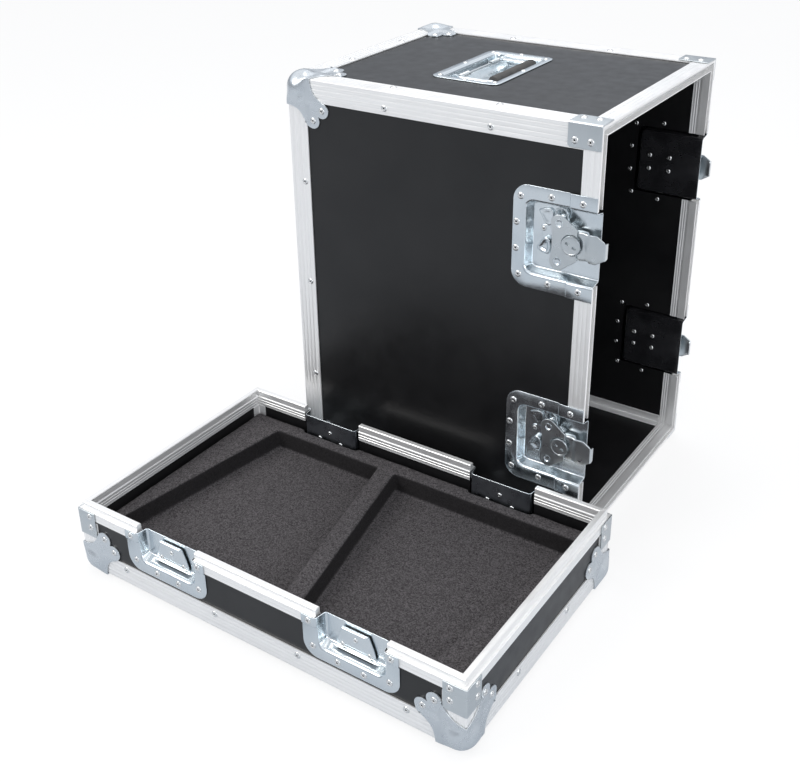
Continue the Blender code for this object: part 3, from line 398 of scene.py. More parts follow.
rim_lengths("hood rim", "hood", groove_profile(), pick(hood_low, hood_high, (1, 0, 0)), hood_high, Z, Y, -X,
            ("hood_rim_lower", "hood_rim_upper"), ("hood_rim_front", "hood_rim_back"))
rim_lengths("tray rim", "tray", tongue_profile(), pick(tray_low, tray_high, (0, 0, 1)), tray_high, X, Y, -Z,
            ("tray_rim_left", "tray_rim_right"), ("tray_rim_near", "tray_rim_far"))


# Pop rivets of plated steel hold the edging and every fitting. Outside each has a wide domed head with
# the hole that its pin broke off in, and inside the boards its small rolled end shows.

HEAD = (0.0044, 0.0015)
SMALL_END = (0.0033, 0.0013)
HEAD_SIDES = 18
HEAD_SHAPE = [(1.0, -0.15), (1.0, 0.08), (0.96, 0.36), (0.86, 0.64), (0.70, 0.88), (0.52, 1.0),
              (0.38, 0.98), (0.30, 0.84), (0.27, 0.60)]
BORE_INSET = 0.03
BORE_DEPTH = 0.5
BOARD_IN = 0.0109
EDGE_RIVET_IN = 0.0215
HOOD_ALONG = (0.153, 0.3046)
HOOD_UP = (0.1414, 0.2895, 0.4376)
TRAY_ALONG = (0.075, 0.2255, 0.3535, 0.504)
ACROSS = (0.116, 0.238)

MIDDLE = (0.0, 0.0)

rivet_steel = patterned(
    "bright rivet steel", ((0.80, 0.80, 0.79), 1.0, 0.22), {"spots": (700.0, 3.0)},
    ("spots", (0.68, 0.68, 0.67), (0.88, 0.88, 0.87)), ("spots", 0.16, 0.34), [("spots", 0.00005, 0.3)])
# Painted shade: the rivets' bores are near black, standing in for the shade down in the holes.
rivet_bore_painted_shade = patterned(
    "painted shade in rivet bores", ((0.02, 0.02, 0.02), 0.6, 0.5), {"shade grain": (3000.0, 2.0)},
    ("shade grain", (0.010, 0.010, 0.010), (0.045, 0.044, 0.042)))


def arc(centre, radius, start, end, steps):
    angles = [math.radians(start + (end - start) * step / steps) for step in range(steps + 1)]
    return [(centre[0] + radius * math.cos(turn), centre[1] + radius * math.sin(turn)) for turn in angles]


def circle(centre, radius, sides):
    return arc(centre, radius, 0, 360 - 360 / sides, sides - 1)


def rivets(name, body, places, size=HEAD):
    """One mesh with a rivet head at each (point, outward direction)."""
    radius, height = size
    bm = bmesh.new()
    for at, outward in places:
        turn = Matrix.Translation(at) @ outward.normalized().to_track_quat("Z", "Y").to_matrix().to_4x4()
        rings = [[turn @ Vector((x, y, rise * height))
                  for x, y in circle(MIDDLE, radius * share, HEAD_SIDES)] for share, rise in HEAD_SHAPE]
        bore = bm.faces.new(skin(bm, rings, fill=(0,))[-1])
        deeper = bmesh.ops.inset_individual(bm, faces=[bore], thickness=radius * BORE_INSET,
                                            depth=-height * BORE_DEPTH)
        # The bore's faces take the painted shade material.
        for face in deeper["faces"] + [bore]:
            face.material_index = 1
    shown(name, mesh_from(name, bm, 60.0), [rivet_steel, rivet_bore_painted_shade], body)


def edge_rivets(low, high, runs):
    """Rivets in rows beside the edges. A run is (its axis, distances along it, faces named by axis and
    side, edges of the face that it lies beside)."""
    heads = []
    for run_axis, distances, faces, edges in runs:
        for face_axis, face_side in faces:
            other = 3 - run_axis - face_axis
            outward = AXES[face_axis] * (2.0 * face_side - 1.0)
            for edge in edges:
                for distance in distances:
                    point = low.copy()
                    point[run_axis] += distance
                    point[face_axis] = (low, high)[face_side][face_axis]
                    point[other] = (low, high)[edge][other] + (1.0 - 2.0 * edge) * EDGE_RIVET_IN
                    heads.append((point, outward))
    return heads


hood_heads = edge_rivets(hood_low, hood_high, [
    (0, HOOD_ALONG, ((1, 0), (1, 1), (2, 0), (2, 1)), (0, 1)),
    (2, HOOD_UP, ((0, 0),), (0, 1)),
    (1, ACROSS, ((0, 0),), (0, 1)),
    (2, HOOD_UP, ((1, 0), (1, 1)), (0,)),
])
end_heads = edge_rivets(hood_low, hood_high, [(1, ACROSS, ((2, 0), (2, 1)), (0,))])
rivets("hood edge rivets", "hood", hood_heads + end_heads)
rivets("hood edge rivet ends", "hood", [(at - out * BOARD_IN, -out) for at, out in hood_heads], SMALL_END)
rivets("tray edge rivets", "tray", edge_rivets(tray_low, tray_high, [
    (0, TRAY_ALONG, ((2, 0),), (0, 1)),
    (1, ACROSS, ((2, 0),), (0, 1)),
    (0, TRAY_ALONG, ((1, 0), (1, 1)), (0,)),
    (1, ACROSS, ((0, 0), (0, 1)), (0,)),
]))


# The ball corners are pressed from 1.5 mm steel and zinc plated: a hollow ball over the case's corner and
# a strap with two round lobes on each face, with a rivet in each lobe.

SHEET = 0.0015
CROWN = 0.0070
BALL_RADIUS = 0.022
BALL_REACH = 0.030
BALL_FOOT = 0.0022
BALL_EDGES = (0.0005, 3, 50.0)
BALL_STEPS = 14
FOLD_RUN = 0.020
LEAF_REACH = 0.037
EDGE_ROUND = 0.0006
LOBE_RADIUS = 0.0105
LOBE_ALONG = 0.0665
LOBE_ASIDE = 0.0106
LOBE_SWEEP = 200.0
LOBE_START = 80.0
WAIST = 0.0155
STRAP_STEPS = 16
STRAP_HALF = 14
BEND_AT = 0.35
BEND_POWER = 1.6
BOARD_STEP = 0.0019
STEP_RUN = 0.006
LOBE_RIVETS = ((0.0545, 0.0398), (0.0398, 0.0545))
WELD = 0.00004
DIAGONAL = math.sqrt(2.0)
ORDERS = ((0, 1, 2), (1, 2, 0), (2, 0, 1))


def zinc_plate(name, cool, warm, low, high):
    """Zinc plate: bright, a little blue, with soft streaks left by the bath and small knocks."""
    return patterned(name, (cool, 1.0, low),
                     {"cloud": (14.0, 4.0, (1.0, 1.0, 1.6)), "spangle": (110.0, 5.0), "fine": (1900.0, 2.0)},
                     ("cloud", cool, warm), ("spangle", low, high, 0.32, 0.68),
                     [("cloud", 0.0003, 0.03), ("fine", 0.00001, 0.05)])


zinc = zinc_plate("bright zinc plate", (0.64, 0.70, 0.74), (0.75, 0.79, 0.81), 0.18, 0.27)
satin_zinc = zinc_plate("satin zinc plate", (0.56, 0.60, 0.62), (0.66, 0.69, 0.70), 0.26, 0.36)
ball_zinc = zinc_plate("zinc plate of the ball corners", (0.64, 0.68, 0.71), (0.74, 0.77, 0.79),
                       0.24, 0.34)


def ease(value):
    value = min(max(value, 0.0), 1.0)
    return value * value * (3.0 - 2.0 * value)


def ball_surface(u, v):
    """Outer surface of a ball corner over one face, for a place u, v in from the two edges."""
    flat_proud = GAP + SHEET
    centre = BALL_RADIUS - CROWN
    beyond = math.hypot(max(u - centre, 0.0), max(v - centre, 0.0))
    dome = math.sqrt(max(BALL_RADIUS ** 2 - beyond ** 2, 0.0)) - centre
    near = max(BALL_FOOT - abs(dome - flat_proud), 0.0)
    proud = max(dome, flat_proud) + near * near / (4.0 * BALL_FOOT)
    round_crest = DIAGONAL * CROWN - (DIAGONAL - 1.0) * BALL_RADIUS
    sharp_crest = DIAGONAL * flat_proud - (DIAGONAL - 1.0) * EDGE_ROUND
    crest = round_crest + (sharp_crest - round_crest) * ease(beyond / FOLD_RUN)
    radius = max(EDGE_ROUND, (DIAGONAL * proud - crest) / (DIAGONAL - 1.0))
    stretch = proud / centre
    square = Vector((u - proud + min(u, centre) * stretch, v - proud + min(v, centre) * stretch, -proud))
    core = Vector((max(square.x, radius - proud), max(square.y, radius - proud), radius - proud))
    point = core + (square - core).normalized() * radius
    point.z += BOARD_STEP * ease((min(u, v) - EDGE_LEG) / STEP_RUN)
    return point


def leaf_end(share):
    """Place on the edge of the two lobes, from one lobe's tip at -1 over the notch at 0 to the other's."""
    angle = math.radians(LOBE_SWEEP * abs(share) - LOBE_START)
    aside = math.copysign(LOBE_ASIDE + LOBE_RADIUS * math.sin(angle), share) if share else 0.0
    return LOBE_ALONG + LOBE_RADIUS * math.cos(angle), aside


def leaf_rows():
    """Rows of places on one strap, from the corner of the case out to the lobes."""
    shares = [step / STRAP_HALF for step in range(-STRAP_HALF, STRAP_HALF + 1)]
    reaches = [BALL_REACH * step / BALL_STEPS for step in range(1, BALL_STEPS + 1)]
    reaches += [(BALL_REACH + LEAF_REACH) / 2, LEAF_REACH]
    rows = [[(reach / DIAGONAL, share * reach / DIAGONAL) for share in shares] for reach in reaches]
    root = LEAF_REACH / DIAGONAL
    for step in range(1, STRAP_STEPS):
        blend = step / STRAP_STEPS
        width = WAIST + (root - WAIST) * (1.0 - blend) ** 3
        bend = max(0.0, (blend - BEND_AT) / (1.0 - BEND_AT)) ** BEND_POWER
        row = []
        for share in shares:
            end_along, end_aside = leaf_end(share)
            straight = share * width
            row.append((root + (end_along - root) * blend, straight + (end_aside - straight) * bend))
        rows.append(row)
    return rows + [[leaf_end(share) for share in shares]]


strap_rows = leaf_rows()


def ball_corner(name, body, low, high, sides, node):
    """Three straps in one sheet, each laid out over its own face from the ball's tip."""
    bm = bmesh.new()
    heads = []
    for order in ORDERS:
        def set_on(point):
            return Vector([point[order.index(axis)] for axis in range(3)])

        def out_at(along, aside):
            return set_on(ball_surface((along + aside) / DIAGONAL, (along - aside) / DIAGONAL))
        tip = bm.verts.new(out_at(0.0, 0.0))
        first = skin(bm, [[out_at(*spot) for spot in row] for row in strap_rows], wrap=False, fill=())[0]
        for one, two in zip(first, first[1:]):
            bm.faces.new((tip, two, one))
        heads += [(set_on((u, v, BOARD_STEP - GAP - SHEET)), set_on(-Z)) for u, v in LOBE_RIVETS]
    bmesh.ops.remove_doubles(bm, verts=bm.verts, dist=WELD)
    inward = inward_from(sides)
    axes = [axis * way for axis, way in zip(AXES, inward)]
    if inward.x * inward.y * inward.z < 0:
        axes = [axes[0], axes[2], axes[1]]
    place = axes_at(*axes, pick(low, high, sides))
    shown(name, mesh_from(name, bm, front=-X - Y - Z), [ball_zinc], body, place, node,
          sheet=(SHEET, -1.0, False), edges=BALL_EDGES)
    rivets(f"{name} rivets", body, [(place @ at, place.to_3x3() @ outward) for at, outward in heads])


hood_corners = [(f"{wall}_{level}", y, z) for z, level in enumerate(("lower", "upper"))
                for y, wall in enumerate(("front", "back"))]
tray_corners = [(f"{wall}_{hand}", x, y) for x, hand in enumerate(("left", "right"))
                for y, wall in enumerate(("near", "far"))]
for label, y, z in hood_corners:
    ball_corner(f"hood ball corner {label}", "hood", hood_low, hood_high, (0, y, z), f"hood_ball_{label}")
for label, x, y in tray_corners:
    ball_corner(f"tray ball corner {label}", "tray", tray_low, tray_high, (x, y, 0), f"tray_ball_{label}")


# The rim's corners have bent steel angles riveted over them, zinc plated as well, two rivets to a leg.
# The hood's are a little longer than the tray's, and all have their free corners clipped.

BRACE_LEG = 0.0285
BEND = 0.0022
BEND_STEPS = 6
BRACE_CLIP = 0.003
BRACE_RIVET_IN = 0.0195
BRACE_EDGES = (0.00035, 2, 40.0)
HOOD_BRACE = (0.042, (0.0134, 0.0329))
TRAY_BRACE = (0.038, (0.0065, 0.0235))


def laddered(bm, ring):
    """Fill a ring with faces that reach from its one half across to the other."""
    for index in range(len(ring) // 2 - 1):
        bm.faces.new((ring[index], ring[index + 1], ring[-index - 2], ring[-index - 1]))


def set_in(place, points, outward=Z):
    """Rivet places, given in the frame of a piece."""
    return [(place @ Vector(point), place.to_3x3() @ outward) for point in points]


def brace(name, body, size, corner, one, two, back, node):
    length, rivet_places = size
    low = -GAP - SHEET
    middle = (low + BEND, low + BEND)
    profile = [(BRACE_LEG, low), *arc(middle, BEND, 270, 180, BEND_STEPS), (low, BRACE_LEG),
               (low + SHEET, BRACE_LEG), *arc(middle, BEND - SHEET, 180, 270, BEND_STEPS),
               (BRACE_LEG, low + SHEET)]
    bm = bmesh.new()
    for ring in skin(bm, [[(a, b, reach) for a, b in profile] for reach in (0.0, length)], fill=()):
        laddered(bm, ring)
    for side in (X, Y):
        cut_flat(bm, side * BRACE_LEG + Z * (length - BRACE_CLIP), -side - Z)
        cut_flat(bm, side * (BRACE_LEG - BRACE_CLIP * 0.35) + Z * length, -side * 0.4 - Z)
    if one.cross(two).dot(back) < 0:
        one, two = two, one
    place = axes_at(one, two, back, corner)
    shown(name, mesh_from(name, bm), [satin_zinc], body, place, node, edges=BRACE_EDGES)
    heads = []
    for reach in rivet_places:
        heads += set_in(place, [(BRACE_RIVET_IN, low, reach)], -Y)
        heads += set_in(place, [(low, BRACE_RIVET_IN, reach)], -X)
    rivets(f"{name} rivets", body, heads)


for label, y, z in hood_corners:
    brace(f"hood brace {label}", "hood", HOOD_BRACE, pick(hood_low, hood_high, (1, y, z)),
          Y * (1 - 2 * y), Z * (1 - 2 * z), -X, f"hood_brace_{label}")
for label, x, y in tray_corners:
    brace(f"tray brace {label}", "tray", TRAY_BRACE, pick(tray_low, tray_high, (x, y, 1)),
          X * (1 - 2 * x), Y * (1 - 2 * y), -Z, f"tray_brace_{label}")


# Each half of a latch sits in a pressed steel dish that is open towards the rim. Its flange steps up over
# the rim's leg. The dish is bright zinc outside. In the hood its back is glossy near black, a painted
# reflection of the hood's dark inside, and in the tray it is a dark blue zinc.

LATCH_DISH = (0.109, 0.0330)
CATCH_DISH = (0.0580, 0.0122)
DISH_WIDTH = 0.132
DISH_CORNER = 0.020
DISH_FLANGE = 0.0160
DISH_DRAFT = 0.0035
DISH_LEAN = 80.0
DISH_EDGES = (0.0005, 3, 60.0)
FLANGE_IN = 0.0016
FLOOR_IN = 0.0166
MOUTH_CORNER = 0.0115
LEAST_CORNER = 0.0035
MOUTH_ROLL = 0.0034
FLOOR_FILLET = 0.0042
CORNER_STEPS = 9
ROLL_STEPS = 6
FLANGE_TOP = DISH_SHEET - FLANGE_IN
RIM_TOP = GAP + DISH_SHEET


def both_sides(points):
    """Places with their mirror images across the middle of the piece."""
    return [(x, side * y, *rest) for x, y, *rest in points for side in ((1, -1) if y else (1,))]


LATCH_FLANGE_RIVETS = both_sides([
    (-0.0991, 0.0507, FLANGE_TOP), (-0.0589, 0.0556, FLANGE_TOP), (-0.0180, 0.0556, RIM_TOP),
    (-0.1036, 0.0170, FLANGE_TOP)])
CATCH_FLANGE_RIVETS = both_sides([
    (-0.0060, 0.0560, RIM_TOP), (-0.0425, 0.0525, FLANGE_TOP), (-0.0500, 0.0180, FLANGE_TOP)])
WORKS_RIVETS = both_sides([(-0.0734, 0.0097), (-0.0444, 0.0097)])
STRIKE_RIVETS = both_sides([(-0.0180, 0.0), (-0.0315, 0.0185)])

# Painted reflection: the hood's pan backs are glossy near black, standing in for zinc that mirrors the dark
# inside of the hood.
pan_back_painted_reflection = patterned(
    "pan backs with painted dark reflection", ((0.012, 0.012, 0.013), 0.0, 0.16, 0.5),
    {"fine ripple": (420.0, 3.0), "haze": (30.0, 4.0)},
    ("haze", (0.008, 0.008, 0.009), (0.020, 0.020, 0.022)), ("haze", 0.10, 0.24),
    [("fine ripple", 0.00010, 0.25)])
back_steel = zinc_plate("dark blue zinc on tray pan backs", (0.22, 0.245, 0.275), (0.35, 0.375, 0.40),
                        0.24, 0.38)


def u_ring(reach, half, corner, crank):
    """Points round three sides of a dish, whose open edge is at x = 0."""
    low = -reach
    span = crank[1] - crank[0]
    runs = [0.0, -crank[0] * 0.5] + [-(crank[0] + span * share) for share in (0.0, 0.25, 0.5, 0.75, 1.0)]
    straight = [(x, -half) for x in runs]
    lower = arc((low + corner, -half + corner), corner, 270, 180, CORNER_STEPS)
    upper = arc((low + corner, half - corner), corner, 180, 90, CORNER_STEPS)
    return straight + lower + upper + [(x, -y) for x, y in straight[::-1]]


def pan_section(lean, fillet, floor):
    """Rolled mouth and rounded foot of a pressed pan's wall: (inset, height) for both."""
    turns = [math.radians(lean * step / ROLL_STEPS) for step in range(ROLL_STEPS + 1)]
    mouth = [(MOUTH_ROLL * (math.sin(turn) - 1.0), -FLANGE_IN - MOUTH_ROLL * (1.0 - math.cos(turn)))
             for turn in turns]
    foot = [(fillet * (1.0 - math.sin(turn)), floor + fillet * (1.0 - math.cos(turn)))
            for turn in turns[::-1]]
    return mouth, foot


def open_dish(name, body, size, place, back, node):
    """A pan open at x = 0, with its flange cranked up over the rim."""
    length, crank_at = size
    crank = (crank_at, crank_at + WALL + 2 * GAP)

    def lifted(ring, height):
        hold = ease((height + FLOOR_IN - FLOOR_FILLET) / (FLOOR_IN - FLANGE_IN - FLOOR_FILLET))
        rise = (GAP + FLANGE_IN) * hold
        return [(x, y, height + rise * ease((x + crank[1]) / (crank[1] - crank[0]))) for x, y in ring]
    mouth, foot = pan_section(DISH_LEAN, FLOOR_FILLET, -FLOOR_IN)
    section = [(inset, inset, height) for inset, height in mouth]
    section += [(DISH_DRAFT + inset, DISH_DRAFT / 2 + inset, height) for inset, height in foot]
    rings = [lifted(u_ring(length, DISH_WIDTH / 2, DISH_CORNER, crank), -FLANGE_IN)]
    for end_inset, side_inset, height in section:
        corner = max(LEAST_CORNER, MOUTH_CORNER - end_inset)
        ring = u_ring(length - DISH_FLANGE - end_inset, POCKET_HALF - side_inset, corner, crank)
        rings.append(lifted(ring, height))
    bm = bmesh.new()
    laddered(bm, skin(bm, rings, wrap=False, fill=())[-1])
    return shown(name, mesh_from(name, bm, front=-Z), [back, zinc], body, place, node,
                 sheet=(DISH_SHEET, -1.0, True), edges=DISH_EDGES)


latch_frames = []
for label, y, z in hood_corners:
    at = (hood_high.x, (hood_low, hood_high)[y].y, hood_low.z + LATCH_PLACES[z])
    latch_frames.append((label, axes_at(*((X, Z, -Y), (X, -Z, Y))[y], at)))
catch_frames = []
for label, x, y in tray_corners:
    at = (tray_low.x + LATCH_PLACES[x], (tray_low, tray_high)[y].y, tray_high.z)
    catch_frames.append((label, axes_at(*((Z, -X, -Y), (Z, X, Y))[y], at)))

for label, place in latch_frames:
    open_dish(f"latch dish {label}", "hood", LATCH_DISH, place, pan_back_painted_reflection, f"latch_dish_{label}")
catch_dishes = [open_dish(f"catch dish {label}", "tray", CATCH_DISH, place, back_steel,
                          f"catch_dish_{label}") for label, place in catch_frames]
for label, place in latch_frames:
    rivets(f"latch dish rivets {label}", "hood", set_in(place, LATCH_FLANGE_RIVETS))
    ends = [(x, y, -BOARD_IN) for x, y, z in LATCH_FLANGE_RIVETS if x < -RIM_LEG]
    ends += [(x, y, -FLOOR_IN) for x, y in WORKS_RIVETS]
    rivets(f"latch dish rivet ends {label}", "hood", set_in(place, ends, -Z), SMALL_END)
for label, place in catch_frames:
    rivets(f"catch dish rivets {label}", "tray", set_in(place, CATCH_FLANGE_RIVETS))
    rivets(f"catch dish rivet ends {label}", "tray",
           set_in(place, [(x, y, -FLOOR_IN) for x, y in STRIKE_RIVETS], -Z), SMALL_END)


# The latch works: a cover plate stands on two posts over the hook, a base plate is riveted to the pan,
# and the turning disc has two slots for a key. All of it is steel with bright or satin zinc plate.

SLACK = 0.0006
LATCH_INSET = 0.032
COVER_TOP = 0.0030
COVER_SHEET = 0.0016
COVER_CORNER = 0.0110
COVER_WAIST = 0.0023
COVER_CUT = 0.0132
COVER_HORN = [(-0.0268, 0.0211), (-0.0256, 0.0204), (-0.0252, 0.0190)]
COVER_EDGES = (0.0006, 3, 50.0)
DIMPLE_RADIUS = 0.0052
POST_RADIUS = 0.0036
POST_ASIDE = 0.0242
POST_BEHIND = 0.0170
POST_HEAD = ((-0.0003, 0.0), (0.0002, 0.0), (0.0001, 0.0003), (-0.0005, 0.0005), (-0.0012, 0.0001),
             (-0.0020, -0.0009), (-0.0028, -0.0011), (-0.0042, -0.0008))
COLLAR = ((0.0078, -0.0001), (0.0078, 0.0012), (0.0070, 0.0020), (0.0054, 0.0026), (0.0050, 0.0060),
          (0.0044, 0.0066))
SUNK = 0.0001
BASE_SHEET = 0.0014
BASE_FOOT = [(-0.0500, 0.0205), (-0.0300, 0.0205), (-0.0300, -0.0205), (-0.0500, -0.0205)]
BASE_EDGES = (0.0004, 2, 50.0)
BASE_HEAD = (0.0032, 0.0012)
EAR_RADIUS = 0.0048
EAR_AT = (-0.0734, 0.0097)
ARCH_RADIUS = 0.0088
ARCH_AT = -0.0500
ARCH_ASIDE = 0.0335
ARCH_FOOT = 0.0125
ARCH_TOP = -0.0106
ARCH_WIDTH = 0.0030
ARCH_EDGES = (0.0005, 3, 50.0)
BEAD_RADIUS = 0.0009
WING = ((-0.0812, -0.0150), (-0.0806, -0.0172), (-0.0740, -0.0198), (-0.0668, -0.0212), (-0.0630, -0.0196),
        (-0.0612, -0.0150), (-0.0612, -0.0060), (-0.0628, -0.0010), (-0.0668, 0.0016), (-0.0706, 0.0008),
        (-0.0740, -0.0040), (-0.0778, -0.0100))
WING_LEVELS = ((0.0, 0.96), (0.0016, 1.0), (0.0036, 0.99), (0.0046, 0.92), (0.0050, 0.80), (0.0047, 0.66),
               (0.0034, 0.50), (0.0028, 0.25))
WING_TILT = 0.16
WING_CUT = 0.3
LEAF_RISE = 0.35
LEAF_SHIFT = 0.0160
COIL_ENDS = (Vector((-0.0375, 0.0245, -0.0118)), Vector((-0.0290, 0.0215, -0.0082)))
COIL_RADIUS = 0.0024
COIL_WIRE = 0.0006
COIL_TURNS = 4

pan_top = -FLOOR_IN + DISH_SHEET
cover_under = -COVER_TOP - COVER_SHEET
post_places = [(-LATCH_INSET - POST_BEHIND, side * POST_ASIDE) for side in (-1, 1)]


def settled(holder):
    """Mesh that an object has once its modifiers have worked."""
    bpy.context.view_layer.update()
    return bpy.data.meshes.new_from_object(holder.evaluated_get(bpy.context.evaluated_depsgraph_get()))


def plate(name, outline, low, high, holes=()):
    """Flat sheet between two heights, from its outline and holes."""
    curve = bpy.data.curves.new(name, "CURVE")
    curve.dimensions = "2D"
    curve.fill_mode = "BOTH"
    curve.extrude = (high - low) / 2
    for loop in (outline, *holes):
        spline = curve.splines.new("POLY")
        spline.points.add(len(loop) - 1)
        for point, (x, y) in zip(spline.points, loop):
            point.co = (x, y, 0.0, 1.0)
        spline.use_cyclic_u = True
    holder = bpy.data.objects.new(name, curve)
    bpy.context.scene.collection.objects.link(holder)
    mesh = settled(holder)
    bpy.data.objects.remove(holder)
    bpy.data.curves.remove(curve)
    bm = bmesh.new()
    bm.from_mesh(mesh)
    bpy.data.meshes.remove(mesh)
    bmesh.ops.remove_doubles(bm, verts=bm.verts, dist=0.000005)
    bmesh.ops.translate(bm, verts=bm.verts, vec=(0.0, 0.0, (high + low) / 2))
    bmesh.ops.dissolve_limit(bm, angle_limit=math.radians(1.0), verts=bm.verts, edges=bm.edges)
    return mesh_from(name, bm)


def turned(name, profile, sides, middles=(MIDDLE,), sharp=50.0):
    """Round pieces from (radius, height) points, one on each middle, closed at both ends."""
    bm = bmesh.new()
    for at in middles:
        skin(bm, [[(x, y, height) for x, y in circle(at, radius, sides)] for radius, height in profile])
    return mesh_from(name, bm, sharp)


def tube_mesh(name, path, radius, sides=16, closed=False):
    """Round rod along a path of points, joined in a ring or closed at both ends."""
    rings = []
    side = None
    count = len(path)
    for index, point in enumerate(path):
        before = path[index - 1] if closed else path[max(index - 1, 0)]
        after = path[(index + 1) % count] if closed else path[min(index + 1, count - 1)]
        ahead = (after - before).normalized()
        side = side or ahead.orthogonal().normalized()
        side = (side - ahead * side.dot(ahead)).normalized()
        up = ahead.cross(side)
        rings.append([point + side * a + up * b for a, b in circle(MIDDLE, radius, sides)])
    bm = bmesh.new()
    skin(bm, rings, fill=() if closed else (0, -1), looped=closed)
    return mesh_from(name, bm, 50.0)


def coil(start, stop, one, two, radius, turns, steps):
    points = []
    for step in range(turns * steps + 1):
        angle = math.tau * step / steps
        swing = (one * math.cos(angle) + two * math.sin(angle)) * radius
        points.append(start.lerp(stop, step / (turns * steps)) + swing)
    return points


def mirrored(points):
    return [(x, -y) for x, y in points[::-1]]


def cover_outline():
    """Three-cornered plate with a waist, two horns and a round cut for the disc between them."""
    back = -LATCH_INSET - POST_BEHIND
    side = back - COVER_CORNER + COVER_WAIST
    waist = [(side, 0.0085), (side - 0.0006, 0.0135)]
    upper = waist + arc((back, POST_ASIDE), COVER_CORNER, 180, 52, 10) + COVER_HORN
    return upper + arc((-LATCH_INSET, 0.0), COVER_CUT, 60, 300, 24) + mirrored(upper)


def base_outline():
    lower = arc((EAR_AT[0], -EAR_AT[1]), EAR_RADIUS, 270, 120, 8)
    return lower + arc(EAR_AT, EAR_RADIUS, 240, 90, 8) + BASE_FOOT


def arch_outline(radius):
    feet = [(ARCH_AT - radius, ARCH_FOOT), (ARCH_AT + radius, ARCH_FOOT)]
    return arc((ARCH_AT, ARCH_ASIDE), radius, 0, 180, 18) + feet


def wing_mesh(rise, shift):
    """Folded thumb wing: a leaf that rises from the pan, with a dimple pressed in its middle."""
    corners = [Vector(point) for point in WING]
    middle = sum(corners, Vector((0.0, 0.0))) / len(corners)
    outline = []
    for index, corner in enumerate(corners):
        before, ahead = corners[index - 1], corners[(index + 1) % len(corners)]
        outline += [corner.lerp(before, WING_CUT), corner * 0.76 + (before + ahead) * 0.12,
                    corner.lerp(ahead, WING_CUT)]
    rings = []
    for level, scale in WING_LEVELS:
        ring = []
        for corner in outline:
            point = middle + (corner - middle) * scale
            tilt = WING_TILT * (point.x - WING[0][0]) if level else 0.0
            ring.append((point.x, point.y - shift, pan_top - SUNK + (level + tilt) * rise))
        rings.append(ring)
    bm = bmesh.new()
    skin(bm, rings)
    return mesh_from("wing", bm, 70.0)


def works(part, label, place, mesh, look=zinc, edges=None):
    shown(f"latch {part} {label}", mesh, [look], "hood", place, f"latch_dish_{label}", edges=edges)


holes = [circle(middle, DIMPLE_RADIUS - 0.0002, 24) for middle in post_places]
post = [(POST_RADIUS, pan_top - 0.0002), (POST_RADIUS, cover_under), (DIMPLE_RADIUS - 0.0003, cover_under)]
post += [(DIMPLE_RADIUS + out, -COVER_TOP + up) for out, up in POST_HEAD]
collar = [(radius, pan_top + up) for radius, up in COLLAR]
arch_eye = circle((ARCH_AT, ARCH_ASIDE + 0.0004), ARCH_RADIUS - ARCH_WIDTH, 24)
bead = [Vector((x, y, ARCH_TOP)) for x, y in arch_outline(ARCH_RADIUS - BEAD_RADIUS)]
coil_side = (COIL_ENDS[1] - COIL_ENDS[0]).normalized().orthogonal().normalized()
coil_up = (COIL_ENDS[1] - COIL_ENDS[0]).normalized().cross(coil_side)
for label, place in latch_frames:
    works("cover plate", label, place, plate("cover plate", cover_outline(), cover_under, -COVER_TOP, holes),
          satin_zinc, COVER_EDGES)
    works("cover posts", label, place, turned("posts", post, 32, post_places))
    works("post collars", label, place, turned("collars", collar, 28, post_places))
    works("base plate", label, place,
          plate("base plate", base_outline(), pan_top - SUNK, pan_top + BASE_SHEET), edges=BASE_EDGES)
    works("arched plate", label, place,
          plate("arched plate", arch_outline(ARCH_RADIUS), ARCH_TOP - COVER_SHEET, ARCH_TOP, [arch_eye]),
          edges=ARCH_EDGES)
    works("arched bead", label, place, tube_mesh("bead", bead, BEAD_RADIUS, 10, True))
    works("folded wing", label, place, wing_mesh(1.0, 0.0))
    leaf = wing_mesh(LEAF_RISE, LEAF_SHIFT)
    leaf.transform(Matrix.Scale(-1.0, 4, Y))
    leaf.flip_normals()
    works("flat leaf", label, place, leaf)
    wire = coil(*COIL_ENDS, coil_side, coil_up, COIL_RADIUS, COIL_TURNS, 14)
    works("spring", label, place, tube_mesh("spring", wire, COIL_WIRE, 8))
    heads = both_sides([(*EAR_AT, pan_top + BASE_SHEET)])
    rivets(f"latch base rivets {label}", "hood", set_in(place, heads), BASE_HEAD)


KEY_RADIUS = 0.0122
KEY_SHAFT_RADIUS = 0.0065
KEY_RIM = ((0.0004, 0.0), (0.0, 0.0004), (0.0, 0.0013), (0.0003, 0.0018), (0.0008, 0.0020),
           (0.0016, 0.0020), (0.0020, 0.0017), (0.0024, 0.0017))
KEY_TURN = -24.0
KEY_SLOT_AT = 0.0049
KEY_SLOT_LONG = 0.0028
KEY_SLOT_WIDE = 0.0018
KEY_SLOT_DEPTH = 0.0040
KEY_SLOT_TOP = 0.002


def key_mesh():
    """Disc with a rounded edge, a shallow ring and its shaft, before the slots are cut."""
    under = -COVER_TOP + SLACK
    shaft = [(KEY_SHAFT_RADIUS, pan_top + BASE_SHEET + SLACK), (KEY_SHAFT_RADIUS, under)]
    rim = [(KEY_RADIUS - inset, under + up) for inset, up in KEY_RIM]
    return turned("key", shaft + rim, 64, sharp=40.0)


def slot_outline(centre):
    """Oblong slot that points away from the disc's middle."""
    loop = (arc((centre + KEY_SLOT_LONG - KEY_SLOT_WIDE, 0.0), KEY_SLOT_WIDE, -90, 90, 8)
            + arc((centre - KEY_SLOT_LONG + KEY_SLOT_WIDE, 0.0), KEY_SLOT_WIDE, 90, 270, 8))
    turn = Matrix.Rotation(math.radians(KEY_TURN), 2)
    return [tuple(turn @ Vector(point)) for point in loop]


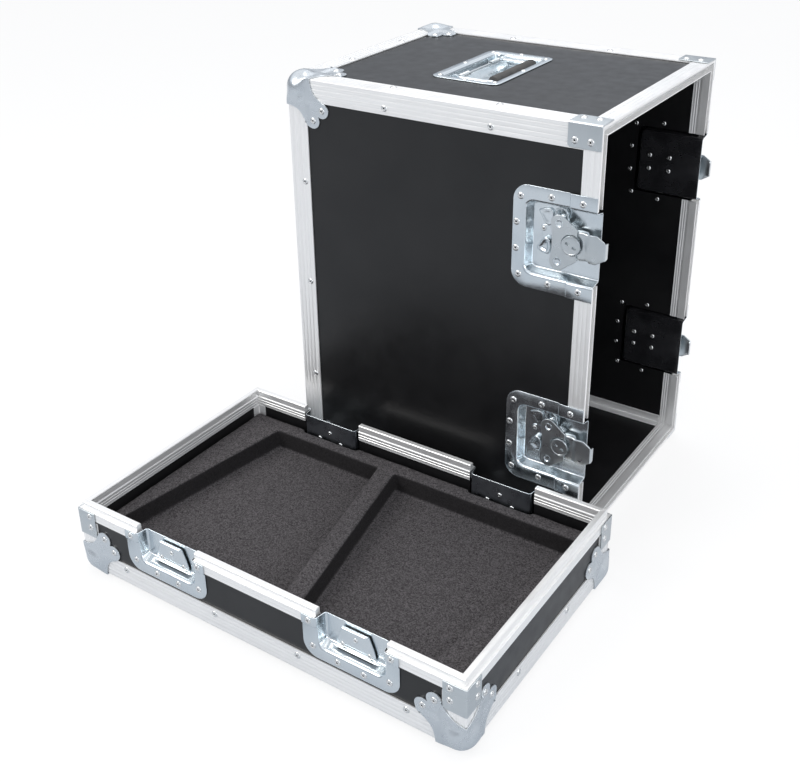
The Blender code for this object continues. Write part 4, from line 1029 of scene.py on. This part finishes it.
def cut_from(piece, cutter_mesh):
    """Take a cutter, given in the piece's own frame, out of the finished piece."""
    cutter = bpy.data.objects.new("cutter", cutter_mesh)
    bpy.context.scene.collection.objects.link(cutter)
    cutter.matrix_world = piece.matrix_world
    cut = piece.modifiers.new("cut", "BOOLEAN")
    cut.operation = "DIFFERENCE"
    cut.solver = "EXACT"
    cut.object = cutter
    mesh = settled(piece)
    piece.modifiers.clear()
    piece.data = mesh
    bpy.data.objects.remove(cutter)


for label, place in latch_frames:
    key_body = f"latch_key_{label}"
    key_place = place @ Matrix.Translation((-LATCH_INSET, 0.0, 0.0))
    key = shown(f"latch key disc {label}", key_mesh(), [satin_zinc], key_body, key_place, key_body)
    for side in (-1, 1):
        cut_from(key, plate("slot", slot_outline(side * KEY_SLOT_AT), -KEY_SLOT_DEPTH, KEY_SLOT_TOP))
    key.data.shade_smooth()
    key.data.set_sharp_from_angle(angle=math.radians(35.0))


# The hook is a bent plate that the disc's cam draws back. Its neck runs under the cover, its blade passes
# over the rim's opening, and a lip at its tip catches behind the strike in the tray.

HOOK_SHEET = 0.0018
HOOK_REACH = 0.0115
HOOK_TIP_WIDTH = 0.020
HOOK_ROOT_WIDTH = 0.035
HOOK_ROOT_BACK = 0.0092
HOOK_SIDE = 0.0062
HOOK_HORN = 0.0075
HOOK_NECK = 0.0066
HOOK_BEND = 0.0024
HOOK_LIP = 0.0050
HOOK_TRAVEL = 0.0045
HOOK_BLADE_DEPTH = 0.0030
HOOK_EDGES = (0.0006, 3, 50.0)
CAM_RADIUS = 0.0104
CAM_CURL = [(0.0090, -0.0085), (0.0136, -0.0062), (0.0150, 0.0), (0.0136, 0.0062), (0.0090, 0.0085)]
CAM_SHEET = 0.0026
CAM_DROP = 0.0050
CAM_EDGES = (0.0005, 2, 50.0)


def hook_rows():
    """Bent section of the hook from its root to its lip: (x, height, half width, depth of its sides)."""
    neck, blade = cover_under - SLACK, -HOOK_BLADE_DEPTH
    tip, root = LATCH_INSET + HOOK_REACH, LATCH_INSET - HOOK_ROOT_BACK
    behind = KEY_SHAFT_RADIUS + 2 * SLACK + HOOK_TRAVEL
    half, tip_half = HOOK_ROOT_WIDTH / 2, HOOK_TIP_WIDTH / 2
    side = HOOK_SIDE
    lip = blade - HOOK_SHEET - HOOK_LIP
    rows = [(behind, neck, half + 0.0012, side), (behind + 0.0030, neck, half + 0.0012, side),
            (root - HOOK_NECK, neck, half + 0.0008, side),
            (root - 0.0050, neck + 0.0004, half + 0.0004, side),
            (root - 0.0030, neck + 0.0012, half, side - 0.0020),
            (root - 0.0012, blade - 0.0004, half, 0.0020), (root, blade, half + 0.0002, 0.0008),
            (LATCH_INSET - 0.0030, blade, half + 0.0003, 0.0003),
            (LATCH_INSET, blade, half + 0.0001, 0.0003), (tip - 0.0032, blade, tip_half + 0.0020, 0.0003)]
    bend = arc((tip - HOOK_BEND, blade - HOOK_BEND), HOOK_BEND, 90, 0, 4)
    rows += [(x, height, tip_half + 0.0012 - 0.0002 * step, 0.0) for step, (x, height) in enumerate(bend)]
    return rows + [(tip, lip + 0.0006, tip_half, 0.0), (tip, lip, tip_half - 0.0006, 0.0)]


def hook_mesh():
    """Sheet swept along its own bent section, with two horns that reach back beside the disc."""
    rows = hook_rows()
    behind, neck = rows[0][0], rows[2][0]
    made = []
    for x, height, wide, drop in rows:
        turn = min(drop, HOOK_BEND)
        section = [(-wide, -drop), (-wide, -turn), (-wide + turn * 0.29, -turn * 0.29),
                   (-wide + max(turn, 0.0004), 0.0)]
        if drop == 0.0:
            section = [(-wide * share, 0.0) for share in (1.0, 0.97, 0.94, 0.90)]
        section += [(-wide * share, 0.0) for share in (0.75, 0.60, 0.45, 0.30, 0.15)]
        back = HOOK_HORN * max(0.0, (neck - x) / (neck - behind))
        across = section + [(0.0, 0.0)] + [(-y, z) for y, z in section[::-1]]
        made.append([(x - back * ease((abs(y) - 0.0060) / 0.0080), y, height + z) for y, z in across])
    bm = bmesh.new()
    skin(bm, made, wrap=False, fill=())
    return mesh_from("hook", bm, front=Z)


def cam_mesh():
    """Round cam under the disc, with the curled end that pushes the hook."""
    low = cover_under - SLACK - CAM_DROP
    reach = KEY_SHAFT_RADIUS + SLACK
    slot = arc((HOOK_TRAVEL, 0.0), reach, -90, 90, 12) + arc(MIDDLE, reach, 90, 270, 12)
    return plate("cam", arc(MIDDLE, CAM_RADIUS, 60, 300, 20) + CAM_CURL, low, low + CAM_SHEET, [slot])


for label, place in latch_frames:
    hook_body = f"latch_hook_{label}"
    hook_place = place @ Matrix.Translation((-LATCH_INSET, 0.0, 0.0))
    shown(f"latch hook {label}", hook_mesh(), [satin_zinc], hook_body, hook_place, hook_body,
          sheet=(HOOK_SHEET, -1.0, False), edges=HOOK_EDGES)
    shown(f"latch cam {label}", cam_mesh(), [zinc], hook_body, hook_place, edges=CAM_EDGES)


# The strike is a steel plate riveted to the pan in the tray. Its upper edge is rolled outwards, and the
# hook's lip catches behind that roll. Below it a long slot is cut in the pan's lower wall.

STRIKE_SHEET = 0.0016
STRIKE_WIDTH = 0.0370
STRIKE_FLARE = 0.0085
STRIKE_HEIGHT = 0.0345
STRIKE_DROP = 0.0042
STRIKE_RISE = 0.0034
STRIKE_ROLL = 0.0027
STRIKE_TAPER = 0.0018
STRIKE_EDGES = (0.0004, 2, 60.0)
STRIKE_HEAD = (0.0032, 0.0013)
FACE_STEPS = 18
STRIKE_ROLL_STEPS = 9
SLOT_LONG = 0.0480
SLOT_WIDE = 0.0012
SLOT_HEIGHT = -0.0405
SLOT_IN = -0.0098
SLOT_REACH = 0.006


def strike_mesh():
    """Plate in rows from its foot up to the rolled edge: (x, height, half width)."""
    foot = pan_top + SUNK
    face = pan_top + STRIKE_RISE - STRIKE_SHEET
    bottom = -STRIKE_DROP - STRIKE_HEIGHT
    top = -STRIKE_DROP - STRIKE_ROLL
    rows = []
    for step in range(FACE_STEPS + 1):
        share = step / FACE_STEPS
        height = foot + (face - foot) * ease((share - 0.04) / 0.18)
        flare = STRIKE_FLARE * math.cos(math.pi / 2 * share) - 0.0030 * (max(0.0, 0.12 - share) / 0.12) ** 2
        rows.append((bottom + (top - bottom) * share, height, STRIKE_WIDTH / 2 + flare))
    roll = arc((top, face + STRIKE_ROLL), STRIKE_ROLL, -90, 72, STRIKE_ROLL_STEPS)
    for step, (x, height) in enumerate(roll[1:], 1):
        rows.append((x, height, STRIKE_WIDTH / 2 - STRIKE_TAPER * step / STRIKE_ROLL_STEPS))
    bm = bmesh.new()
    skin(bm, [[(x, step / 5 * wide, height) for step in range(-5, 6)] for x, height, wide in rows],
         wrap=False, fill=())
    return mesh_from("strike", bm, front=Z)


for (label, place), dish in zip(catch_frames, catch_dishes):
    outline = (arc((0.0, SLOT_LONG / 2), SLOT_WIDE / 2, 0, 180, 8)
               + arc((0.0, -SLOT_LONG / 2), SLOT_WIDE / 2, 180, 360, 8))
    cutter = plate("wall slot", outline, -SLOT_REACH, SLOT_REACH)
    cutter.transform(Matrix.Translation((SLOT_HEIGHT, 0.0, SLOT_IN)) @ Matrix.Rotation(math.pi / 2, 4, "Y"))
    cut_from(dish, cutter)
    shown(f"strike plate {label}", strike_mesh(), [zinc], "tray", place, f"catch_dish_{label}",
          sheet=(STRIKE_SHEET, 1.0, False), edges=STRIKE_EDGES)
    rivets(f"strike rivets {label}", "tray",
           set_in(place, [(x, y, pan_top + STRIKE_RISE) for x, y in STRIKE_RIVETS]), STRIKE_HEAD)


# Each handle is a sprung bail in a closed pressed dish: a steel rod with a thick rubber sleeve on it, held
# by two ears. Two springs coiled round a thin pin lay it back on the case.

HANDLE_LENGTH = 0.163
HANDLE_WIDTH = 0.099
HANDLE_CORNER = 0.012
HANDLE_FLANGE = 0.0110
HANDLE_MOUTH_CORNER = 0.0066
HANDLE_DEPTH = 0.0150
HANDLE_DRAFT = 0.0010
HANDLE_FILLET = 0.0026
HANDLE_LEAN = 84.0
HANDLE_INSET = 0.209
HANDLE_HEAD = (0.0033, 0.0011)
HANDLE_RIVETS = both_sides([(x, y, FLANGE_TOP) for x, y in (
    (0.0440, 0.0), (-0.0440, 0.0), (0.0, 0.0760), (0.0405, 0.0700), (-0.0405, 0.0700))])
PIVOT_BEHIND = 0.022
GRIP_AHEAD = 0.0285
GRIP_RADIUS = 0.0076
GRIP_LENGTH = 0.107
GRIP_PROUD = 0.0020
GRIP_END = ((0.0, 0.80), (0.0004, 0.90), (0.0014, 0.97), (0.0030, 1.0))
GRIP_STEPS = 14
GRIP_FLAT = -0.66
BAIL_RADIUS = 0.0032
BAIL_BEND = 0.0060
BAIL_SHOULDER = 0.0036
BAIL_MIDDLE = 0.03
ROD_RADIUS = 0.0038 * 0.84
PIVOT_EAR = 0.0030
EAR_WALL = 0.0028
EAR_HALF = 0.0105
PIN_RADIUS = 0.0017
SPRING_TURNS = 11
SPRING_PITCH = 0.0021
SPRING_RADIUS = 0.0031
SPRING_WIRE = 0.0007
SPRING_TAIL = Vector((-0.0060, 0.0, -0.0040))

rubber = patterned(
    "black rubber", ((0.045, 0.043, 0.041), 0.0, 0.55, 0.4), {"bloom": (60.0, 4.0), "skin": (1800.0, 3.0)},
    ("bloom", (0.030, 0.029, 0.028), (0.070, 0.067, 0.064)), ("bloom", 0.48, 0.66),
    [("skin", 0.00012, 0.45)])
handle_frames = []
for side, axes, z in (("top", (X, Y, Z), hood_high.z), ("bottom", (X, -Y, -Z), hood_low.z)):
    at = (hood_low.x + HANDLE_INSET, (hood_low.y + hood_high.y) / 2, z)
    handle_frames.append((side, axes_at(*axes, at)))


def rounded(half_x, half_y, radius, steps=8):
    x, y = half_x - radius, half_y - radius
    points = []
    for centre, start in (((x, y), 0), ((-x, y), 90), ((-x, -y), 180), ((x, -y), 270)):
        points += arc(centre, radius, start, start + 90, steps)
    return points


def handle_pan_mesh():
    half = (HANDLE_WIDTH / 2, HANDLE_LENGTH / 2)
    mouth, foot = pan_section(HANDLE_LEAN, HANDLE_FILLET, -FLANGE_IN - HANDLE_DEPTH)
    rings = [[(x, y, -FLANGE_IN) for x, y in rounded(*half, HANDLE_CORNER)]]
    for inset, height in mouth + [(HANDLE_DRAFT + inset, height) for inset, height in foot]:
        ring = rounded(*[reach - HANDLE_FLANGE - inset for reach in half], HANDLE_MOUTH_CORNER - inset)
        rings.append([(x, y, height) for x, y in ring])
    bm = bmesh.new()
    skin(bm, rings, fill=(-1,))
    return mesh_from("handle pan", bm, front=-Z)


def bail_path():
    """Middle of the bail's rod, from one pivot round by arm, bend and bar to the other."""
    arm = GRIP_LENGTH / 2 + SLACK + BAIL_RADIUS
    reach = PIVOT_BEHIND + GRIP_AHEAD
    half = [(0.0, arm + BAIL_RADIUS + SLACK + PIVOT_EAR - GAP), (0.0, arm + BAIL_SHOULDER)]
    for step in range(1, 6):
        fall = math.cos(math.radians(15.0 * step))
        half.append((BAIL_SHOULDER * (1.0 - fall), arm + BAIL_SHOULDER * fall))
    half += [(BAIL_BEND, arm), (reach - BAIL_BEND, arm)]
    half += arc((reach - BAIL_BEND, arm - BAIL_BEND), BAIL_BEND, 75, 0, 5) + [(reach, BAIL_MIDDLE)]
    return [Vector((x, y, 0.0)) for x, y in half + mirrored(half)]


def grip_mesh():
    """Rubber sleeve: D-shaped section, flatter below, with rounded ends."""
    half = GRIP_LENGTH / 2
    end = GRIP_END[-1][0]
    shape = [(-half + inset, share) for inset, share in GRIP_END]
    body = [(-half + end + 2 * (half - end) * step / GRIP_STEPS, 1.0) for step in range(1, GRIP_STEPS)]
    rings = []
    for y, share in shape + body + [(-y, share) for y, share in shape[::-1]]:
        rings.append([(PIVOT_BEHIND + GRIP_AHEAD + a * share, y, max(b, GRIP_RADIUS * GRIP_FLAT) * share)
                      for a, b in circle(MIDDLE, GRIP_RADIUS, 30)])
    bm = bmesh.new()
    skin(bm, rings)
    return mesh_from("grip", bm, 60.0)


pivot_z = -GRIP_RADIUS + GRIP_PROUD
handle_floor = -FLANGE_IN - HANDLE_DEPTH + DISH_SHEET
ear_out = GRIP_LENGTH / 2 + 2 * SLACK + 2 * BAIL_RADIUS + PIVOT_EAR
pin_half = GRIP_LENGTH / 2 - 0.0010
for side, place in handle_frames:
    dish_node = f"handle_dish_{side}"
    shown(f"handle dish {side}", handle_pan_mesh(), [zinc], "hood", place, dish_node,
          sheet=(DISH_SHEET, -1.0, True), edges=DISH_EDGES)
    ear_foot = handle_floor - 0.0002
    outline = arc((-PIVOT_BEHIND, pivot_z), BAIL_RADIUS + EAR_WALL, 0, 180, 14)
    outline += [(-PIVOT_BEHIND - EAR_HALF, ear_foot), (-PIVOT_BEHIND + EAR_HALF, ear_foot)]
    eye = circle((-PIVOT_BEHIND, pivot_z), ROD_RADIUS + GAP, 24)
    for end in (-1, 1):
        low, high = sorted((-end * ear_out, -end * (ear_out - PIVOT_EAR)))
        shown(f"handle ear {side} {end}", plate("ear", outline, low, high, [eye]), [zinc], "hood",
              place @ Matrix.Rotation(math.pi / 2, 4, "X"), dish_node, edges=BASE_EDGES)
    pivot = place @ Matrix.Translation((-PIVOT_BEHIND, 0.0, pivot_z))
    shown(f"handle bail {side}", tube_mesh("bail", bail_path(), ROD_RADIUS), [zinc], f"handle_{side}",
          pivot, f"handle_bail_{side}")
    shown(f"handle pin {side}", tube_mesh("pin", [Y * way * pin_half for way in (-1, 0, 1)], PIN_RADIUS),
          [satin_zinc], "hood", pivot)
    for end in (-1, 1):
        ends = [Y * end * (pin_half - 0.0010 - SPRING_PITCH * turns) for turns in (0, SPRING_TURNS)]
        wire = coil(*ends, X, Z, SPRING_RADIUS, SPRING_TURNS, 16)
        wire.append(wire[-1] + SPRING_TAIL)
        shown(f"handle spring {side} {end}", tube_mesh("spring", wire, SPRING_WIRE, 8), [satin_zinc], "hood",
              pivot)
    shown(f"handle grip {side}", grip_mesh(), [rubber], f"handle_{side}", pivot, f"handle_grip_{side}")
    rivets(f"handle rivets {side}", "hood", set_in(place, HANDLE_RIVETS), HANDLE_HEAD)


# The insert is one block of soft grey foam, glued to the tray's floor, with two slanted pockets cut in it.
# Its cut edges are a little rounded, and its open cells show as a fine light and dark speckle.

FOAM_CELL = 0.0024
FOAM_DARK = (0.013, 0.0118, 0.0124)
FOAM_LIGHT = (0.128, 0.119, 0.123)
SWELLS = ((28.0, 0.0005), (140.0, 0.00022))
SHRINK = 0.0003


def foam_material():
    """Speckled foam, with painted shade that makes its upright cut sides darker than its top."""
    made, tree, shader = surface("grey foam", (0.06, 0.056, 0.058), 0.0, 0.95, 0.15)
    cells = grain(tree, 430.0, 3.0, rough=0.7)
    pores = grain(tree, 1300.0, 2.0, rough=0.6)
    cloud = grain(tree, 18.0, 3.0)
    both = wired(tree, "Math", {0: cells, 1: 0.6, 2: spread_to(tree, pores, 0.0, 0.4, 0.2, 0.8)},
                 operation="MULTIPLY_ADD")[0]
    # Painted shade: the speckle is darkened where the surface faces sideways, on the upright cut sides.
    up = wired(tree, "SeparateXYZ", {0: wired(tree, "NewGeometry")["Normal"]})["Z"]
    speckle_and_painted_shade = wired(tree, "Math", {0: spread_to(tree, both, 0.0, 1.0, 0.36, 0.66),
                                   1: spread_to(tree, up, 0.16, 1.0, 0.25, 0.80)}, operation="MULTIPLY")[0]
    feed(tree, shader, {"Base Color": mixed(tree, speckle_and_painted_shade, FOAM_DARK, FOAM_LIGHT),
                        "Roughness": spread_to(tree, cloud, 0.88, 1.0),
                        "Normal": embossed(tree, [(cells, 0.0012, 0.55), (pores, 0.0004, 0.5)])})
    return made


foam_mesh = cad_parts["foam_insert"].data.copy()
foam_mesh.materials.clear()
foam = shown("foam block", foam_mesh, [foam_material()], "tray", None, "foam_insert")
remesh = foam.modifiers.new("even mesh", "REMESH")
remesh.mode = "VOXEL"
remesh.voxel_size = FOAM_CELL
soften = foam.modifiers.new("soft edges", "SMOOTH")
soften.factor = 0.5
soften.iterations = 1
soft = settled(foam)
foam.modifiers.clear()
foam.data = soft
moved = []
for vertex in soft.vertices:
    sway = sum(patterns.noise(vertex.co * size) * depth for size, depth in SWELLS)
    moved.extend(vertex.co + vertex.normal * (sway - SHRINK))
soft.vertices.foreach_set("co", moved)
soft.update()
soft.shade_smooth()


# The case stands on a plain white floor in an empty white studio. Broad soft lamps light it from the
# upper left, the right and above, and the camera stands ahead of its near right corner.

FLOOR_SIZE = 12.0
FLOOR_GLOW = 0.80
WHITE = (1.0, 1.0, 1.0, 1.0)
# Painted reflection of the floor in the case: its glow near the case, far behind, and its share.
PAINTED_REFLECTION_NEAR = (0.30, 0.35, 0.42)
PAINTED_REFLECTION_FAR = (0.95, 0.95, 0.97)
PAINTED_REFLECTION_SHARE = 0.60
SKY_BANDS = ((0.40, (0.55, 0.55, 0.56)), (0.56, (0.30, 0.33, 0.38)), (0.72, (1.0, 1.04, 1.10)),
             (0.95, (0.86, 0.87, 0.90)))
CAMERA_AT = (0.7183, -1.1089, 0.9540)
CAMERA_AHEAD = Vector((-0.5135, 0.7343, -0.4439)).normalized()
CAMERA_RIGHT = Vector((0.8250, 0.5648, -0.0200)).normalized()
CAMERA_LENS = 50.46
CAMERA_SHIFT = (0.0195, -0.0963)


def times(tree, factor, share):
    return wired(tree, "Math", {0: factor, 1: share}, operation="MULTIPLY")[0]


def floor_material():
    """White paper that the camera sees nearly full white, with the case's shadow on it. In the case's mirror
    images it glows with a painted reflection, dusky near the case and brighter far behind."""
    made, tree, shader = surface("white floor", (0.90, 0.90, 0.90), 0.0, 0.9, 0.1)
    fibre = mixed(tree, grain(tree, 3.0, 2.0), (0.89, 0.89, 0.89), (0.91, 0.91, 0.91))
    feed(tree, shader, {"Base Color": fibre})
    seen = wired(tree, "LightPath")
    glow = wired(tree, "Emission", {"Color": WHITE, "Strength": 1.0})["Emission"]
    paper = wired(tree, "MixShader", {0: times(tree, seen["Is Camera Ray"], FLOOR_GLOW),
                                      1: shader.outputs["BSDF"], 2: glow})["Shader"]
    # Painted reflection: glossy rays see a glowing colour, dusky near the case and bright far behind.
    far = wired(tree, "SeparateXYZ", {0: wired(tree, "TexCoord")["Object"]})["Y"]
    painted_reflection = mixed(tree, spread_to(tree, far, 0.0, 1.0, -0.30, 0.70), PAINTED_REFLECTION_NEAR, PAINTED_REFLECTION_FAR)
    both = wired(tree, "MixShader", {0: times(tree, seen["Is Glossy Ray"], PAINTED_REFLECTION_SHARE), 1: paper,
                                     2: wired(tree, "Emission", {"Color": painted_reflection})["Emission"]})["Shader"]
    tree.links.new(both, tree.nodes["Material Output"].inputs["Surface"])
    return made


floor_mesh = bpy.data.meshes.new("floor")
half = FLOOR_SIZE / 2
floor_mesh.from_pydata([(-half, -half, 0.0), (half, -half, 0.0), (half, half, 0.0), (-half, half, 0.0)], [],
                       [(0, 1, 2, 3)])
floor_mesh.materials.append(floor_material())
floor_piece = bpy.data.objects.new("floor", floor_mesh)
bpy.context.scene.collection.objects.link(floor_piece)

world = bpy.data.worlds.new("studio")
bpy.context.scene.world = world
world.use_nodes = True
sky = world.node_tree
sky.nodes.clear()
around = wired(sky, "TexCoord")["Generated"]
up = wired(sky, "SeparateXYZ", {0: around})["Z"]
ramp = wired(sky, "ValToRGB", {"Fac": wired(sky, "Math", {0: up, 1: 0.5, 2: 0.5},
                                            operation="MULTIPLY_ADD")[0]})["Color"]
bands = ramp.node.color_ramp.elements
for index, (at, colour) in enumerate(SKY_BANDS):
    band = bands[0] if index == 0 else bands.new(at)
    band.position = at
    band.color = (*colour, 1.0)
bands.remove(bands[-1])
flat = wired(sky, "VectorMath", {0: around, 1: (1.0, 1.0, 0.15)}, operation="MULTIPLY")["Vector"]
walls = wired(sky, "TexNoise", {"Vector": flat, "Scale": 4.5, "Detail": 2.0})["Fac"]
bright = spread_to(sky, walls, 0.70, 1.25, 0.35, 0.65)
studio = wired(sky, "Background", {"Color": ramp, "Strength": bright})["Background"]
plain = wired(sky, "Background", {"Color": WHITE, "Strength": 1.0})["Background"]
by_eye = wired(sky, "LightPath")["Is Camera Ray"]
chosen = wired(sky, "MixShader", {0: by_eye, 1: studio, 2: plain})["Shader"]
wired(sky, "OutputWorld", {"Surface": chosen})


def placed(name, data, turn):
    holder = bpy.data.objects.new(name, data)
    bpy.context.scene.collection.objects.link(holder)
    holder.matrix_world = turn
    return holder


def lamp(name, at, towards, size, power, colour=(1.0, 1.0, 1.0)):
    """Square lamp, its size in metres and its power in watts."""
    light = bpy.data.lights.new(name, "AREA")
    light.shape = "SQUARE"
    light.size = size
    light.energy = power
    light.color = colour
    turn = (Vector(towards) - Vector(at)).to_track_quat("-Z", "Y")
    placed(name, light, Matrix.Translation(at) @ turn.to_matrix().to_4x4())


lamp("key lamp", (-1.5, -1.9, 2.1), (0.0, 0.0, 0.2), 1.5, 34.0, (1.0, 0.985, 0.96))
lamp("side lamp", (2.3, -0.7, 1.2), (0.1, 0.1, 0.25), 1.3, 16.0, (0.93, 0.97, 1.0))
lamp("top lamp", (0.0, 0.5, 2.3), (0.0, 0.0, 0.3), 1.6, 18.0)

camera_data = bpy.data.cameras.new("camera")
camera_data.sensor_width = 36.0
camera_data.lens = CAMERA_LENS
camera_data.clip_start = 0.05
camera_data.shift_x, camera_data.shift_y = CAMERA_SHIFT
up = CAMERA_RIGHT.cross(CAMERA_AHEAD).normalized()
right = CAMERA_AHEAD.cross(up).normalized()
camera = placed("camera", camera_data, axes_at(right, up, -CAMERA_AHEAD, CAMERA_AT))
bpy.context.scene.camera = camera
bpy.context.scene.view_settings.view_transform = "Standard"
